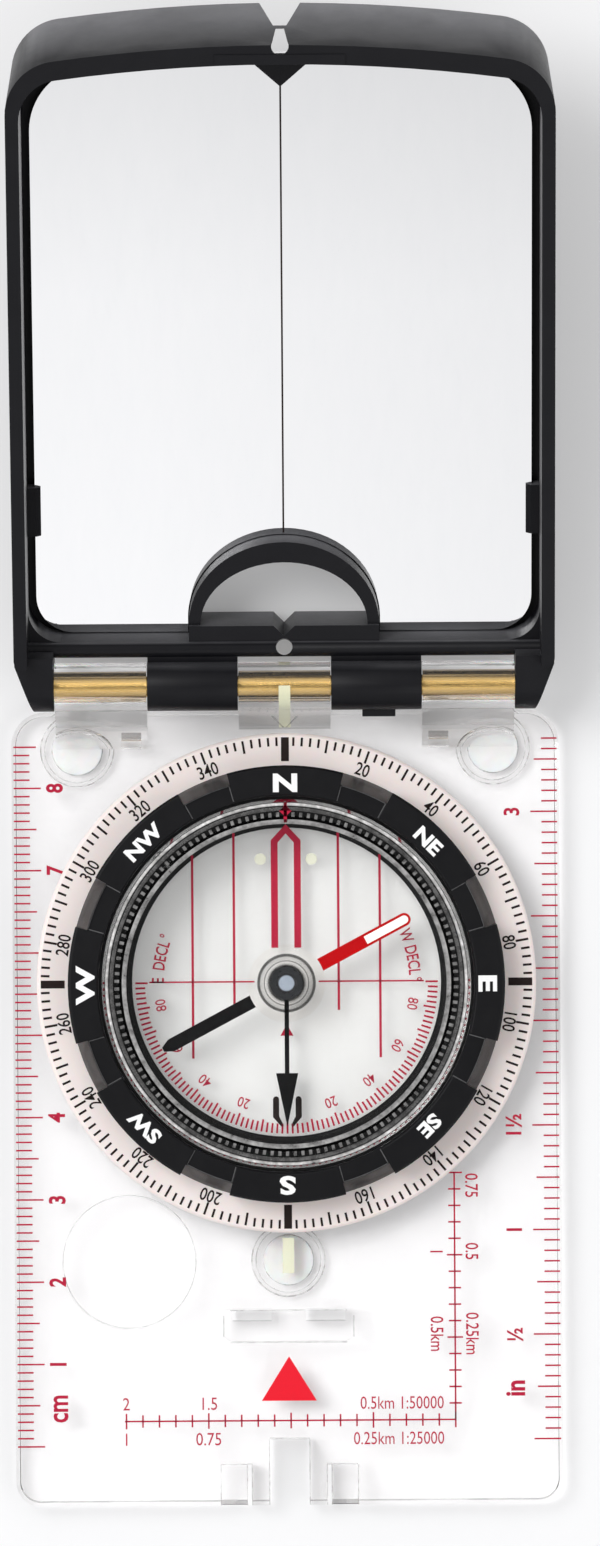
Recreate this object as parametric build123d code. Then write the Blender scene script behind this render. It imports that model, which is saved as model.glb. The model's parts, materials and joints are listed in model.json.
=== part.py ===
from build123d import *
import math
import os

# Mirror sighting compass, opened flat. Millimetres.
# X to the right, Y from the rear edge towards the lid, Z up.
# The origin is on the needle's axis, in the plane of the three feet.

# Base plate: clear acrylic moulding
PLATE_WIDTH = 66.5
PLATE_FRONT_MARGIN = 2.7
PLATE_REAR = 63.5
PLATE_THICKNESS = 3.0
PLATE_FRONT_CORNER = 4.0
PLATE_REAR_CORNER = 3.0
PLATE_CHAMFER = 0.5
LENS_ANGLE = 240.27
LENS_RING_GAP = 0.72
LENS_RADIUS = 7.9
LENS_RISE = 0.5
LENS_BELLY = 0.4
LENS_GROOVE_WIDTH = 0.35
LENS_GROOVE_DEPTH = 0.4

# Feet: three soft discs, each glued in a pocket inside a moulded ring groove
FOOT_DROP = 0.6
FOOT_RADIUS = 3.0
FOOT_POCKET_DEPTH = 0.6
FOOT_GROOVE_GAP = 0.9
FOOT_GROOVE_WIDTH = 0.6
FOOT_GROOVE_DEPTH = 0.5
FOOT_SIDE_INSET = 7.95
FOOT_FRONT_INSET = 4.6
FOOT_REAR_OFFSET = 3.5

# Stowage recess and lanyard socket behind the bezel
STOW_WIDTH = 15.8
STOW_LENGTH = 3.9
STOW_FOOT_GAP = 1.4
STOW_DEPTH = 1.0
STOW_CORNER = 1.2
STOW_SLOT_WIDTH = 4.8
STOW_SLOT_LENGTH = 1.5
STOW_SLOT_OFFSET = 4.5
SOCKET_WIDTH = 4.9
SOCKET_LENGTH = 8.1
PRONG_WIDTH = 2.1
PRONG_LENGTH = 5.0
PRONG_SLIT = 0.6
WING_WIDTH = 3.2
WING_DEPTH = 1.3

# Luminous strips at the two ends of the index line
LUME_WIDTH = 1.4
LUME_DEPTH = 0.4
LUME_FRONT_REACH = 5.0
LUME_REAR_GAP = 0.7
LUME_REAR_LENGTH = 4.3

# Hinge: clear knuckles on the plate, black barrels on the lid, split brass tube
HINGE_OFFSET = 3.0
HINGE_RISE = 5.2
KNUCKLE_RADIUS = 2.95
KNUCKLE_WIDTH = 11.1
KNUCKLE_END_GAP = 0.1
ARM_ROOT = 4.5
ARM_RING_GAP = 0.5
ARM_CORE_WIDTH = 2.4
ARM_CORE_LENGTH = 2.5
ARM_CORE_INSET = 0.8
END_ARM_WIDTH = 4.65
END_ARM_CHAMFER = 2.3
PIN_RADIUS = 1.25
PIN_WALL = 0.45
PIN_SLOT = 0.5
PIN_CLEARANCE = 0.05
PIN_END_INSET = 2.9

# Lid: black tray that carries the mirror, drawn 15 degrees short of flat open
LID_TILT = 15.0
LID_SIDE_INSET = 0.75
LID_LENGTH = 79.0
LID_BACK_GROWTH = 2.8
LID_BACK_DEPTH = 8.8
LID_RIM_GAP = 0.35
LID_SIDE_DRAFT = 0.4
LID_SIDE_WALL = 1.6
LID_END_WALL = 2.3
LID_FLOOR = 1.3
LID_END_ARC = 200.0
LID_FAR_CORNER = 6.5
LID_NEAR_CORNER = 1.2
LID_KNUCKLE_GAP = 0.35
LID_NEAR_WALL = 1.9
LID_NEAR_WALL_TOP = -1.5
LID_INNER_FAR_CORNER = 5.0
LID_INNER_NEAR_CORNER = 4.0

# Sighting window, notch, hole and keyhole of the lid
BAR_DEPTH = 3.8
BAR_NOTCH_WIDTH = 2.6
BAR_NOTCH_DEPTH = 1.3
BAR_HOLE_INSET = 1.2
BAR_HOLE_RADIUS = 1.0
WINDOW_HALF_WIDTH = 10.1
WINDOW_LENGTH = 7.7
ARCH_HALF_WIDTH = 11.5
ARCH_LENGTH = 10.2
ARCH_TOP = -2.2
SIGHT_TILT = 10.0
NOTCH_HALF_WIDTH = 2.45
NOTCH_TIP_HALF_WIDTH = 0.8
NOTCH_DEPTH = 2.8
SIGHT_BRIDGE = 0.35
KEYHOLE_RADIUS = 1.05
KEYHOLE_NECK = 1.0
KEYHOLE_REACH = 5.3
POINTER_WIDTH = 6.2
POINTER_LENGTH = 2.7
POINTER_BASE = 1.7
POINTER_THICKNESS = 0.7
POINTER_LIFT = 0.1
POINTER_PAD_HALF_WIDTH = 7.7
POINTER_PAD_DEPTH = 1.2
POINTER_PAD_RISE = 0.2
NUB_X = 11.4
NUB_WIDTH = 4.0
NUB_REACH = 3.9
NUB_THICKNESS = 1.6

# Mirror, its foam pad and its two side clips
MIRROR_THICKNESS = 1.2
MIRROR_SIDE_GAP = 0.9
MIRROR_NEAR_GAP = 0.15
MIRROR_FAR_GAP = 0.5
MIRROR_ARCH_GAP = 0.15
MIRROR_NEAR_CORNER = 4.5
MIRROR_FAR_CORNER = 8.0
PAD_THICKNESS = 0.3
PAD_INSET = 1.5
CLIP_U = 20.5
CLIP_LENGTH = 6.0
CLIP_LAP = 0.7
CLIP_THICKNESS = 0.9
CLIP_LEG_GAP = 0.1

# Bezel: beige degree ring, black grip pressed on it, black retaining ring below
RING_BAND = 3.9
RING_FLANGE = 1.7
RING_CHAMFER = 0.35
SKIRT_WALL = 1.3
SKIRT_GAP = 0.1
BEZEL_PLAY = 0.1
GRIP_HEIGHT = 5.0
GRIP_WIDTH = 3.7
GRIP_CHAMFER = 0.3
GRIP_LIP_GAP = 0.4
GRIP_NOTCHES = 8
GRIP_NOTCH_ANGLE = 14.0
GRIP_NOTCH_DEPTH = 1.5
GRIP_NOTCH_SHELF = 0.4
RETAINER_THICKNESS = 0.8
RETAINER_LIP = 1.9
RETAINER_GAP = 0.2
RETAINER_INSET = 0.1

# Capsule: clear dish with the declination gear, clear dome above it
CAPSULE_BORE = 19.5
CAPSULE_WALL = 0.8
CAPSULE_SEAT = 1.7
CAPSULE_SEAT_GAP = 0.2
DISH_FLOOR = 1.2
DISH_DEPTH = 2.0
GEAR_MODULE = 0.3
GEAR_FACE = 1.2
GEAR_LIFT = 0.4
GEAR_TIP_SHARE = 0.18
GEAR_ROOT_SHARE = 0.56
DOME_OVERHANG = 2.0
DOME_LIP = 1.0
DOME_PANE = 1.0
DOME_RIM = 1.0
DOME_SINK = 0.2
DOME_BEVEL = 0.35
DOME_LIP_GAP = 0.2
PLUG_RADIUS = 0.6
PLUG_ANGLE = 135.0
PLUG_PROUD = 0.2

# Declination screw: blackened brass pinion on a slotted head, let into the retaining ring
PINION_TEETH = 8
PINION_TIP_GAP = 0.2
SCREW_ANGLE = 60.0
SCREW_HEAD_RADIUS = 1.5
SCREW_HEAD_THICKNESS = 0.35
SCREW_SHAFT_RADIUS = 0.8
SCREW_SHOULDER_RADIUS = 1.0
SCREW_SLOT = 0.4
SCREW_CLEARANCE = 0.05

# Pivot pin, clinometer arrow and needle
PIN_SHANK_RADIUS = 0.9
PIN_NECK_RADIUS = 0.5
PIN_SOCKET_DEPTH = 0.8
PIVOT_SHANK_RISE = 1.0
PIVOT_NECK_LENGTH = 1.4
PIVOT_POINT_LENGTH = 1.3
PIVOT_TIP_RADIUS = 0.05
BUSH_RADIUS = 1.7
BUSH_THICKNESS = 0.8
BUSH_CLEARANCE = 0.06
BUSH_PLAY = 0.1
CLINO_THICKNESS = 0.3
CLINO_STEM = 0.55
CLINO_HEAD_START = 11.0
CLINO_HEAD_WIDTH = 2.7
CLINO_REACH = 17.5
NEEDLE_HEADING = 62.0
NEEDLE_DROP = 0.5
NEEDLE_THICKNESS = 0.4
NEEDLE_WIDTH = 1.6
NEEDLE_REACH = 17.0
NEEDLE_POINT = 1.1
HUB_RADIUS = 4.7
HUB_THICKNESS = 0.5
HUB_BOSS_RADIUS = 3.5
MAGNET_RADIUS = 2.0
MAGNET_THICKNESS = 1.0
JEWEL_RADIUS = 1.25
JEWEL_CUP_RADIUS = 0.45
JEWEL_GAP = 0.03
LUME_INSET_START = 10.9
LUME_INSET_BORDER = 0.3
LUME_INSET_DEPTH = 0.2
LUME_INSET_PROUD = 0.03

# Levels and radii that follow from the sizes above
PLATE_BOTTOM = FOOT_DROP
PLATE_TOP = PLATE_BOTTOM + PLATE_THICKNESS
HALF_WIDTH = PLATE_WIDTH / 2
LID_HALF_WIDTH = HALF_WIDTH - LID_SIDE_INSET
HINGE_HEIGHT = PLATE_TOP + HINGE_RISE
LID_RIM = HINGE_HEIGHT - PLATE_TOP - LID_RIM_GAP
FLOOR_LEVEL = LID_FLOOR - LID_BACK_DEPTH
MIRROR_BACK = FLOOR_LEVEL + PAD_THICKNESS
MIRROR_FRONT = MIRROR_BACK + MIRROR_THICKNESS
LID_NEAR = KNUCKLE_RADIUS + LID_KNUCKLE_GAP
BAR_FAR = LID_NEAR + BAR_DEPTH
BAR_HOLE_U = LID_NEAR + BAR_HOLE_INSET
END_ARM_INNER = LID_HALF_WIDTH - END_ARM_WIDTH
SIDE_KNUCKLE_OUTER = END_ARM_INNER - KNUCKLE_END_GAP
SIDE_KNUCKLE_INNER = SIDE_KNUCKLE_OUTER - KNUCKLE_WIDTH
PIN_HALF_LENGTH = LID_HALF_WIDTH - PIN_END_INSET
RETAINER_BOTTOM = PLATE_BOTTOM + RETAINER_INSET
RETAINER_TOP = RETAINER_BOTTOM + RETAINER_THICKNESS
FLANGE_BOTTOM = PLATE_TOP + BEZEL_PLAY
FLANGE_TOP = FLANGE_BOTTOM + RING_FLANGE
GRIP_TOP = FLANGE_TOP + GRIP_HEIGHT
CAPSULE_OUTER = CAPSULE_BORE + CAPSULE_WALL
GEAR_TEETH = math.ceil(2 * CAPSULE_OUTER / GEAR_MODULE + 2.5)
PINION_CENTRE = (GEAR_TEETH + PINION_TEETH) * GEAR_MODULE / 2
SKIRT_INNER = PINION_CENTRE + (PINION_TEETH / 2 + 1) * GEAR_MODULE + PINION_TIP_GAP
SKIRT_OUTER = SKIRT_INNER + SKIRT_WALL
RETAINER_OUTER = SKIRT_OUTER + RETAINER_LIP
RETAINER_INNER = CAPSULE_OUTER - CAPSULE_SEAT + CAPSULE_SEAT_GAP
DISH_BOTTOM = RETAINER_BOTTOM + RETAINER_INSET
DISH_TOP = DISH_BOTTOM + DISH_FLOOR
DISH_SEAT = RETAINER_TOP + BEZEL_PLAY
DISH_RIM = DISH_TOP + DISH_DEPTH
GEAR_BOTTOM = DISH_TOP + GEAR_LIFT
DOME_TOP = GRIP_TOP - DOME_SINK
DOME_CEILING = DOME_TOP - DOME_PANE
DOME_PANE_RADIUS = CAPSULE_OUTER + DOME_OVERHANG
DOME_LIP_RADIUS = DOME_PANE_RADIUS + DOME_LIP
GRIP_BORE = DOME_PANE_RADIUS + GRIP_LIP_GAP
GRIP_OUTER = GRIP_BORE + GRIP_WIDTH
RING_RADIUS = GRIP_OUTER + RING_BAND
PLATE_FRONT = RING_RADIUS + PLATE_FRONT_MARGIN
HINGE_Y = PLATE_FRONT + HINGE_OFFSET
MIDDLE_ROOT = RING_RADIUS + ARM_RING_GAP
LENS_DISTANCE = RING_RADIUS + LENS_RING_GAP + LENS_RADIUS
LENS_X = LENS_DISTANCE * math.cos(math.radians(LENS_ANGLE))
LENS_Y = LENS_DISTANCE * math.sin(math.radians(LENS_ANGLE))
FOOT_GROOVE_INNER = FOOT_RADIUS + FOOT_GROOVE_GAP
FOOT_GROOVE_OUTER = FOOT_GROOVE_INNER + FOOT_GROOVE_WIDTH
FOOT_FRONT_X = HALF_WIDTH - FOOT_SIDE_INSET
FOOT_FRONT_Y = PLATE_FRONT - FOOT_FRONT_INSET
FOOT_REAR_Y = -RING_RADIUS - FOOT_REAR_OFFSET
STOW_FRONT = FOOT_REAR_Y - FOOT_GROOVE_OUTER - STOW_FOOT_GAP
LUME_REAR_START = -RING_RADIUS - LUME_REAR_GAP
PIVOT_STEP = DISH_TOP + PIVOT_SHANK_RISE
PIVOT_NECK_TOP = PIVOT_STEP + PIVOT_NECK_LENGTH
PIVOT_TIP = PIVOT_NECK_TOP + PIVOT_POINT_LENGTH
NEEDLE_HEIGHT = PIVOT_TIP - NEEDLE_DROP

MIDDLE = (Align.CENTER, Align.CENTER, Align.MIN)
CORNER = (Align.MIN, Align.MIN, Align.MIN)
OVERCUT = 1.0


def disc(radius, low, high, x=0.0, y=0.0):
    """Upright cylinder between two levels."""
    return Pos(x, y, low) * Cylinder(radius, high - low, align=MIDDLE)


def ring(outer, inner, low, high, x=0.0, y=0.0):
    """Upright tube between two levels."""
    hole = disc(inner, low - OVERCUT, high + OVERCUT, x, y)
    return disc(outer, low, high, x, y) - hole


def block(x0, x1, y0, y1, z0, z1):
    """Box between two corners."""
    return Pos(x0, y0, z0) * Box(x1 - x0, y1 - y0, z1 - z0, align=CORNER)


def rod(radius, x0, x1, y, z):
    """Cylinder along X."""
    return Pos(x0, y, z) * Rot(0, 90, 0) * Cylinder(radius, x1 - x0, align=MIDDLE)


def side_prism(points, x0, x1):
    """Prism along X on an outline of (y, z) points."""
    outline = make_face(Polyline(*points, close=True))
    return extrude(Plane.YZ.offset(x0) * outline, x1 - x0)


def flat_prism(points, low, high):
    """Upright prism on an outline of (x, y) points."""
    outline = make_face(Polyline(*points, close=True))
    return extrude(Pos(0, 0, low) * outline, high - low)


def turned(points):
    """Solid of revolution about the needle's axis on an outline of (radius, z) points."""
    outline = make_face(Polyline(*points, close=True))
    return revolve(Plane.XZ * outline, Axis.Z)


def at_angle(degrees, radius):
    """Point on a circle about the needle's axis."""
    angle = math.radians(degrees)
    return radius * math.cos(angle), radius * math.sin(angle)


def in_lid(shape):
    """Place a shape drawn in the lid's own frame: across, along from the hinge, up to the rim."""
    return Location((0, HINGE_Y, HINGE_HEIGHT), (LID_TILT, 0, 0)) * shape


# ---------------------------------------------------------------- base plate


def foot_places():
    return {
        "foot_left": (-FOOT_FRONT_X, FOOT_FRONT_Y),
        "foot_right": (FOOT_FRONT_X, FOOT_FRONT_Y),
        "foot_rear": (0.0, FOOT_REAR_Y),
    }


def plate_blank():
    """Flat plate with rounded corners and bevelled edges."""
    middle = (PLATE_FRONT - PLATE_REAR) / 2
    outline = Pos(0, middle) * Rectangle(PLATE_WIDTH, PLATE_FRONT + PLATE_REAR)
    outline = fillet(outline.vertices().group_by(Axis.Y)[-1], PLATE_FRONT_CORNER)
    outline = fillet(outline.vertices().group_by(Axis.Y)[0], PLATE_REAR_CORNER)
    plate = extrude(Pos(0, 0, PLATE_BOTTOM) * outline, PLATE_THICKNESS)
    rims = plate.faces().sort_by(Axis.Z)[-1].edges() + plate.faces().sort_by(Axis.Z)[0].edges()
    return chamfer(rims, PLATE_CHAMFER)


def lens_cap(level, rise, side):
    """Spherical cap of the magnifier on one face of the plate; side is 1 above, -1 below."""
    ball = (LENS_RADIUS ** 2 + rise ** 2) / (2 * rise)
    centre = level + side * (rise - ball)
    low = min(level, level + side * rise)
    band = disc(LENS_RADIUS, low, low + rise, LENS_X, LENS_Y)
    return band & (Pos(LENS_X, LENS_Y, centre) * Sphere(ball))


def lens_groove():
    """Fine moulded groove round the magnifier, in the upper face."""
    outer = LENS_RADIUS + LENS_GROOVE_WIDTH
    return ring(outer, LENS_RADIUS, PLATE_TOP - LENS_GROOVE_DEPTH, PLATE_TOP + OVERCUT, LENS_X, LENS_Y)


def knuckle_arm(x0, x1, root):
    """Ramped arm that lifts one clear knuckle to the hinge axis."""
    arm = side_prism(
        [
            (root, PLATE_TOP - PLATE_CHAMFER),
            (root, PLATE_TOP),
            (HINGE_Y - KNUCKLE_RADIUS, HINGE_HEIGHT),
            (HINGE_Y, HINGE_HEIGHT),
            (HINGE_Y, HINGE_HEIGHT - KNUCKLE_RADIUS),
            (PLATE_FRONT, PLATE_BOTTOM + PLATE_CHAMFER),
            (root, PLATE_BOTTOM + PLATE_CHAMFER),
        ],
        x0,
        x1,
    )
    return arm + rod(KNUCKLE_RADIUS, x0, x1, HINGE_Y, HINGE_HEIGHT)


def knuckle_spans():
    """Ends of each clear knuckle along X and where its ramp starts: the middle one clears the bezel."""
    half = KNUCKLE_WIDTH / 2
    side_root = PLATE_FRONT - ARM_ROOT
    return [
        (-SIDE_KNUCKLE_OUTER, -SIDE_KNUCKLE_INNER, side_root),
        (-half, half, MIDDLE_ROOT),
        (SIDE_KNUCKLE_INNER, SIDE_KNUCKLE_OUTER, side_root),
    ]


def arm_core(side):
    """Moulding pocket under the inner end of a side arm."""
    inner = side * (SIDE_KNUCKLE_INNER + ARM_CORE_INSET)
    outer = inner + side * ARM_CORE_WIDTH
    rear = PLATE_FRONT - ARM_ROOT + ARM_CORE_INSET / 2
    top = PLATE_TOP - PLATE_CHAMFER
    return block(
        min(inner, outer), max(inner, outer), rear, rear + ARM_CORE_LENGTH, PLATE_BOTTOM - OVERCUT, top
    )


def foot_seat(x, y):
    """Pocket for one foot and the ring groove round it, cut up from the underside."""
    pocket = disc(FOOT_RADIUS, PLATE_BOTTOM - OVERCUT, PLATE_BOTTOM + FOOT_POCKET_DEPTH, x, y)
    top = PLATE_BOTTOM + FOOT_GROOVE_DEPTH
    return pocket + ring(FOOT_GROOVE_OUTER, FOOT_GROOVE_INNER, PLATE_BOTTOM - OVERCUT, top, x, y)


def stow_recess():
    """Shallow T pocket on top with two slots through its floor."""
    half = STOW_WIDTH / 2
    rear = STOW_FRONT - STOW_LENGTH
    pocket = block(-half, half, rear, STOW_FRONT, PLATE_TOP - STOW_DEPTH, PLATE_TOP + OVERCUT)
    rear_corners = pocket.edges().filter_by(Axis.Z).group_by(Axis.Y)[0]
    pocket = fillet(rear_corners, STOW_CORNER)
    for side in (-1, 1):
        middle = side * STOW_SLOT_OFFSET
        pocket += block(
            middle - STOW_SLOT_WIDTH / 2,
            middle + STOW_SLOT_WIDTH / 2,
            STOW_FRONT - STOW_SLOT_LENGTH,
            STOW_FRONT,
            PLATE_BOTTOM - OVERCUT,
            PLATE_TOP,
        )
    return pocket


def lanyard_socket():
    """Open channel at the rear edge, with a slit and a lowered wing beyond each prong."""
    half = SOCKET_WIDTH / 2
    low = PLATE_BOTTOM - OVERCUT
    high = PLATE_TOP + OVERCUT
    beyond = -PLATE_REAR - OVERCUT
    cut = block(-half, half, beyond, SOCKET_LENGTH - PLATE_REAR, low, high)
    for side in (-1, 1):
        inner = side * (half + PRONG_WIDTH)
        slit = inner + side * PRONG_SLIT
        wing = slit + side * WING_WIDTH
        front = PRONG_LENGTH - PLATE_REAR
        cut += block(min(inner, slit), max(inner, slit), beyond, front, low, high)
        cut += block(min(slit, wing), max(slit, wing), beyond, front, PLATE_TOP - WING_DEPTH, high)
    return cut


def front_lume_shape():
    """Strip over the middle knuckle, from its top round its rear side and down the ramp."""
    half = LUME_WIDTH / 2
    inner = KNUCKLE_RADIUS - LUME_DEPTH
    shell = rod(KNUCKLE_RADIUS, -half, half, HINGE_Y, HINGE_HEIGHT)
    shell -= rod(inner, -half - OVERCUT, half + OVERCUT, HINGE_Y, HINGE_HEIGHT)
    rear = HINGE_Y - KNUCKLE_RADIUS
    quarter = block(-half, half, rear, HINGE_Y, HINGE_HEIGHT, HINGE_HEIGHT + KNUCKLE_RADIUS)
    foot_y = HINGE_Y - LUME_FRONT_REACH
    slope = (HINGE_HEIGHT - PLATE_TOP) / (rear - MIDDLE_ROOT)
    foot_z = HINGE_HEIGHT - slope * (rear - foot_y)
    ramp = side_prism(
        [
            (rear, HINGE_HEIGHT),
            (rear + LUME_DEPTH, HINGE_HEIGHT),
            (foot_y + LUME_DEPTH, foot_z),
            (foot_y, foot_z),
        ],
        -half,
        half,
    )
    return (shell & quarter) + ramp


def rear_lume_shape():
    half = LUME_WIDTH / 2
    rear = LUME_REAR_START - LUME_REAR_LENGTH
    return block(-half, half, rear, LUME_REAR_START, PLATE_TOP - LUME_DEPTH, PLATE_TOP)


def baseplate():
    """Clear plate with bezel hole, magnifier, hinge knuckles, recess and lanyard socket."""
    plate = plate_blank()
    for x0, x1, root in knuckle_spans():
        plate += knuckle_arm(x0, x1, root)
    plate += lens_cap(PLATE_TOP, LENS_RISE, 1)
    plate += lens_cap(PLATE_BOTTOM, LENS_BELLY, -1)
    plate -= lens_groove()
    plate -= disc(SKIRT_OUTER + SKIRT_GAP, PLATE_BOTTOM - OVERCUT, PLATE_TOP + OVERCUT)
    ledge = RETAINER_TOP + BEZEL_PLAY
    plate -= disc(RETAINER_OUTER + RETAINER_GAP, PLATE_BOTTOM - OVERCUT, ledge)
    for x, y in foot_places().values():
        plate -= foot_seat(x, y)
    for side in (-1, 1):
        plate -= arm_core(side)
    plate -= stow_recess()
    plate -= lanyard_socket()
    plate -= front_lume_shape()
    plate -= rear_lume_shape()
    plate -= rod(PIN_RADIUS, -HALF_WIDTH, HALF_WIDTH, HINGE_Y, HINGE_HEIGHT)
    return plate


def foot(x, y):
    return disc(FOOT_RADIUS, 0.0, PLATE_BOTTOM + FOOT_POCKET_DEPTH, x, y)


def hinge_pin():
    """Rolled brass tube, slit along its length, pressed into the plate's knuckles."""
    tube = rod(PIN_RADIUS, -PIN_HALF_LENGTH, PIN_HALF_LENGTH, HINGE_Y, HINGE_HEIGHT)
    tube -= rod(PIN_RADIUS - PIN_WALL, -HALF_WIDTH, HALF_WIDTH, HINGE_Y, HINGE_HEIGHT)
    half = PIN_SLOT / 2
    return tube - block(
        -HALF_WIDTH, HALF_WIDTH, HINGE_Y - half, HINGE_Y + half, HINGE_HEIGHT - 2 * PIN_RADIUS, HINGE_HEIGHT
    )


# ---------------------------------------------------------------- lid


def lid_face(half_width, near, far, near_corner, far_corner):
    """Plan of the lid at one level: straight sides, arched far end, rounded corners."""
    shoulder = far - half_width ** 2 / (2 * LID_END_ARC)
    sides = Polyline(
        (-half_width, shoulder), (-half_width, near), (half_width, near), (half_width, shoulder)
    )
    arch = ThreePointArc((half_width, shoulder), (0, far), (-half_width, shoulder))
    outline = make_face(sides + arch)
    outline = fillet(outline.vertices().group_by(Axis.Y)[-1], far_corner)
    return fillet(outline.vertices().group_by(Axis.Y)[0], near_corner)


def lid_blank():
    """Outer body of the lid, slightly wider at the rim and longer at the back."""
    half_back = LID_HALF_WIDTH - LID_SIDE_DRAFT
    far_back = LID_LENGTH + LID_BACK_GROWTH
    back = lid_face(half_back, LID_NEAR, far_back, LID_NEAR_CORNER, LID_FAR_CORNER)
    rim = lid_face(LID_HALF_WIDTH, LID_NEAR, LID_LENGTH, LID_NEAR_CORNER, LID_FAR_CORNER)
    levels = Sketch() + [Pos(0, 0, -LID_BACK_DEPTH) * back, Pos(0, 0, LID_RIM) * rim]
    return loft(levels, ruled=True)


def lid_hollow():
    """Space inside the walls, and the lower wall on the hinge side."""
    inner = lid_face(
        LID_HALF_WIDTH - LID_SIDE_WALL,
        LID_NEAR + LID_NEAR_WALL,
        LID_LENGTH - LID_END_WALL,
        LID_INNER_NEAR_CORNER,
        LID_INNER_FAR_CORNER,
    )
    hollow = extrude(Pos(0, 0, FLOOR_LEVEL) * inner, LID_RIM - FLOOR_LEVEL + OVERCUT)
    reach = LID_HALF_WIDTH - LID_SIDE_WALL
    lip_end = LID_NEAR + LID_NEAR_WALL + LID_INNER_NEAR_CORNER
    return hollow + block(
        -reach, reach, LID_NEAR - OVERCUT, lip_end, LID_NEAR_WALL_TOP, LID_RIM + OVERCUT
    )


def half_arch(half_width, length, low, high):
    """Half-ellipse prism that stands on the far edge of the sighting bar."""
    arch = extrude(Pos(0, BAR_FAR, low) * Ellipse(half_width, length), high - low)
    return arch & block(-half_width, half_width, BAR_FAR, BAR_FAR + length, low, high)


def sight_bar():
    """Bar beside the hinge and the arch wall round the sighting window."""
    half = ARCH_HALF_WIDTH
    bar = block(-half, half, LID_NEAR, BAR_FAR, -LID_BACK_DEPTH, LID_NEAR_WALL_TOP)
    return bar + half_arch(ARCH_HALF_WIDTH, ARCH_LENGTH, -LID_BACK_DEPTH, ARCH_TOP)


def near_bead():
    """Rounded top of the wall on the hinge side, from side wall to side wall."""
    reach = LID_HALF_WIDTH - LID_SIDE_WALL
    return rod(LID_NEAR_WALL / 2, -reach, reach, LID_NEAR + LID_NEAR_WALL / 2, LID_NEAR_WALL_TOP)


def window_cut():
    """Window, V notch and round hole through the bar."""
    low = -LID_BACK_DEPTH - OVERCUT
    cut = half_arch(WINDOW_HALF_WIDTH, WINDOW_LENGTH, low, OVERCUT)
    half = BAR_NOTCH_WIDTH / 2
    notch = [(-half, BAR_FAR), (0.0, BAR_FAR - BAR_NOTCH_DEPTH), (half, BAR_FAR)]
    cut += flat_prism(notch, low, OVERCUT)
    upright = Pos(0, BAR_HOLE_U, LID_NEAR_WALL_TOP) * Rot(-LID_TILT, 0, 0)
    return cut + upright * Cylinder(BAR_HOLE_RADIUS, 4 * LID_BACK_DEPTH)


def sight_cut():
    """V notch and keyhole at the far end, both cut along the line of sight."""
    back_end = LID_LENGTH + LID_BACK_GROWTH
    tip = back_end - NOTCH_DEPTH
    flare = NOTCH_HALF_WIDTH + OVERCUT * (NOTCH_HALF_WIDTH - NOTCH_TIP_HALF_WIDTH) / NOTCH_DEPTH
    notch = Polyline(
        (-NOTCH_TIP_HALF_WIDTH, tip),
        (NOTCH_TIP_HALF_WIDTH, tip),
        (flare, back_end + OVERCUT),
        (-flare, back_end + OVERCUT),
        close=True,
    )
    neck = Polyline(
        (-KEYHOLE_NECK / 2, tip - SIGHT_BRIDGE),
        (KEYHOLE_NECK / 2, tip - SIGHT_BRIDGE),
        (KEYHOLE_RADIUS, back_end - KEYHOLE_REACH),
        (-KEYHOLE_RADIUS, back_end - KEYHOLE_REACH),
        close=True,
    )
    eye = Pos(0, back_end - KEYHOLE_REACH) * Circle(KEYHOLE_RADIUS)
    shape = make_face(notch) + (make_face(neck) + eye)
    depth = LID_RIM + LID_BACK_DEPTH
    sight = Vector(0, math.sin(math.radians(SIGHT_TILT)), math.cos(math.radians(SIGHT_TILT)))
    start = sight * -2.0
    shape = Pos(start.X, start.Y, start.Z - LID_BACK_DEPTH) * shape
    return extrude(shape, depth + 6.0, dir=sight)


def pointer():
    """Small triangular pointer over the mirror's far edge."""
    half = POINTER_WIDTH / 2
    wall = LID_LENGTH - LID_END_WALL
    base = wall - POINTER_BASE
    low = MIRROR_FRONT + POINTER_LIFT
    points = [(-half, wall + LID_END_WALL / 2), (-half, base), (0.0, base - POINTER_LENGTH)]
    points += [(half, base), (half, wall + LID_END_WALL / 2)]
    return flat_prism(points, low, low + POINTER_THICKNESS)


def pointer_pad():
    """Low raised pad on the far rim, over the pointer's root."""
    wall = LID_LENGTH - LID_END_WALL
    half = POINTER_PAD_HALF_WIDTH
    return block(-half, half, wall, wall + POINTER_PAD_DEPTH, LID_RIM - OVERCUT, LID_RIM + POINTER_PAD_RISE)


def lid_barrel(x0, x1):
    """Black barrel between two clear knuckles, with the web that joins it to the lid."""
    web = block(x0, x1, 0.0, LID_NEAR + LID_NEAR_WALL / 2, -KNUCKLE_RADIUS, -KNUCKLE_RADIUS / 3)
    return rod(KNUCKLE_RADIUS, x0, x1, 0.0, 0.0) + web


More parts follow.
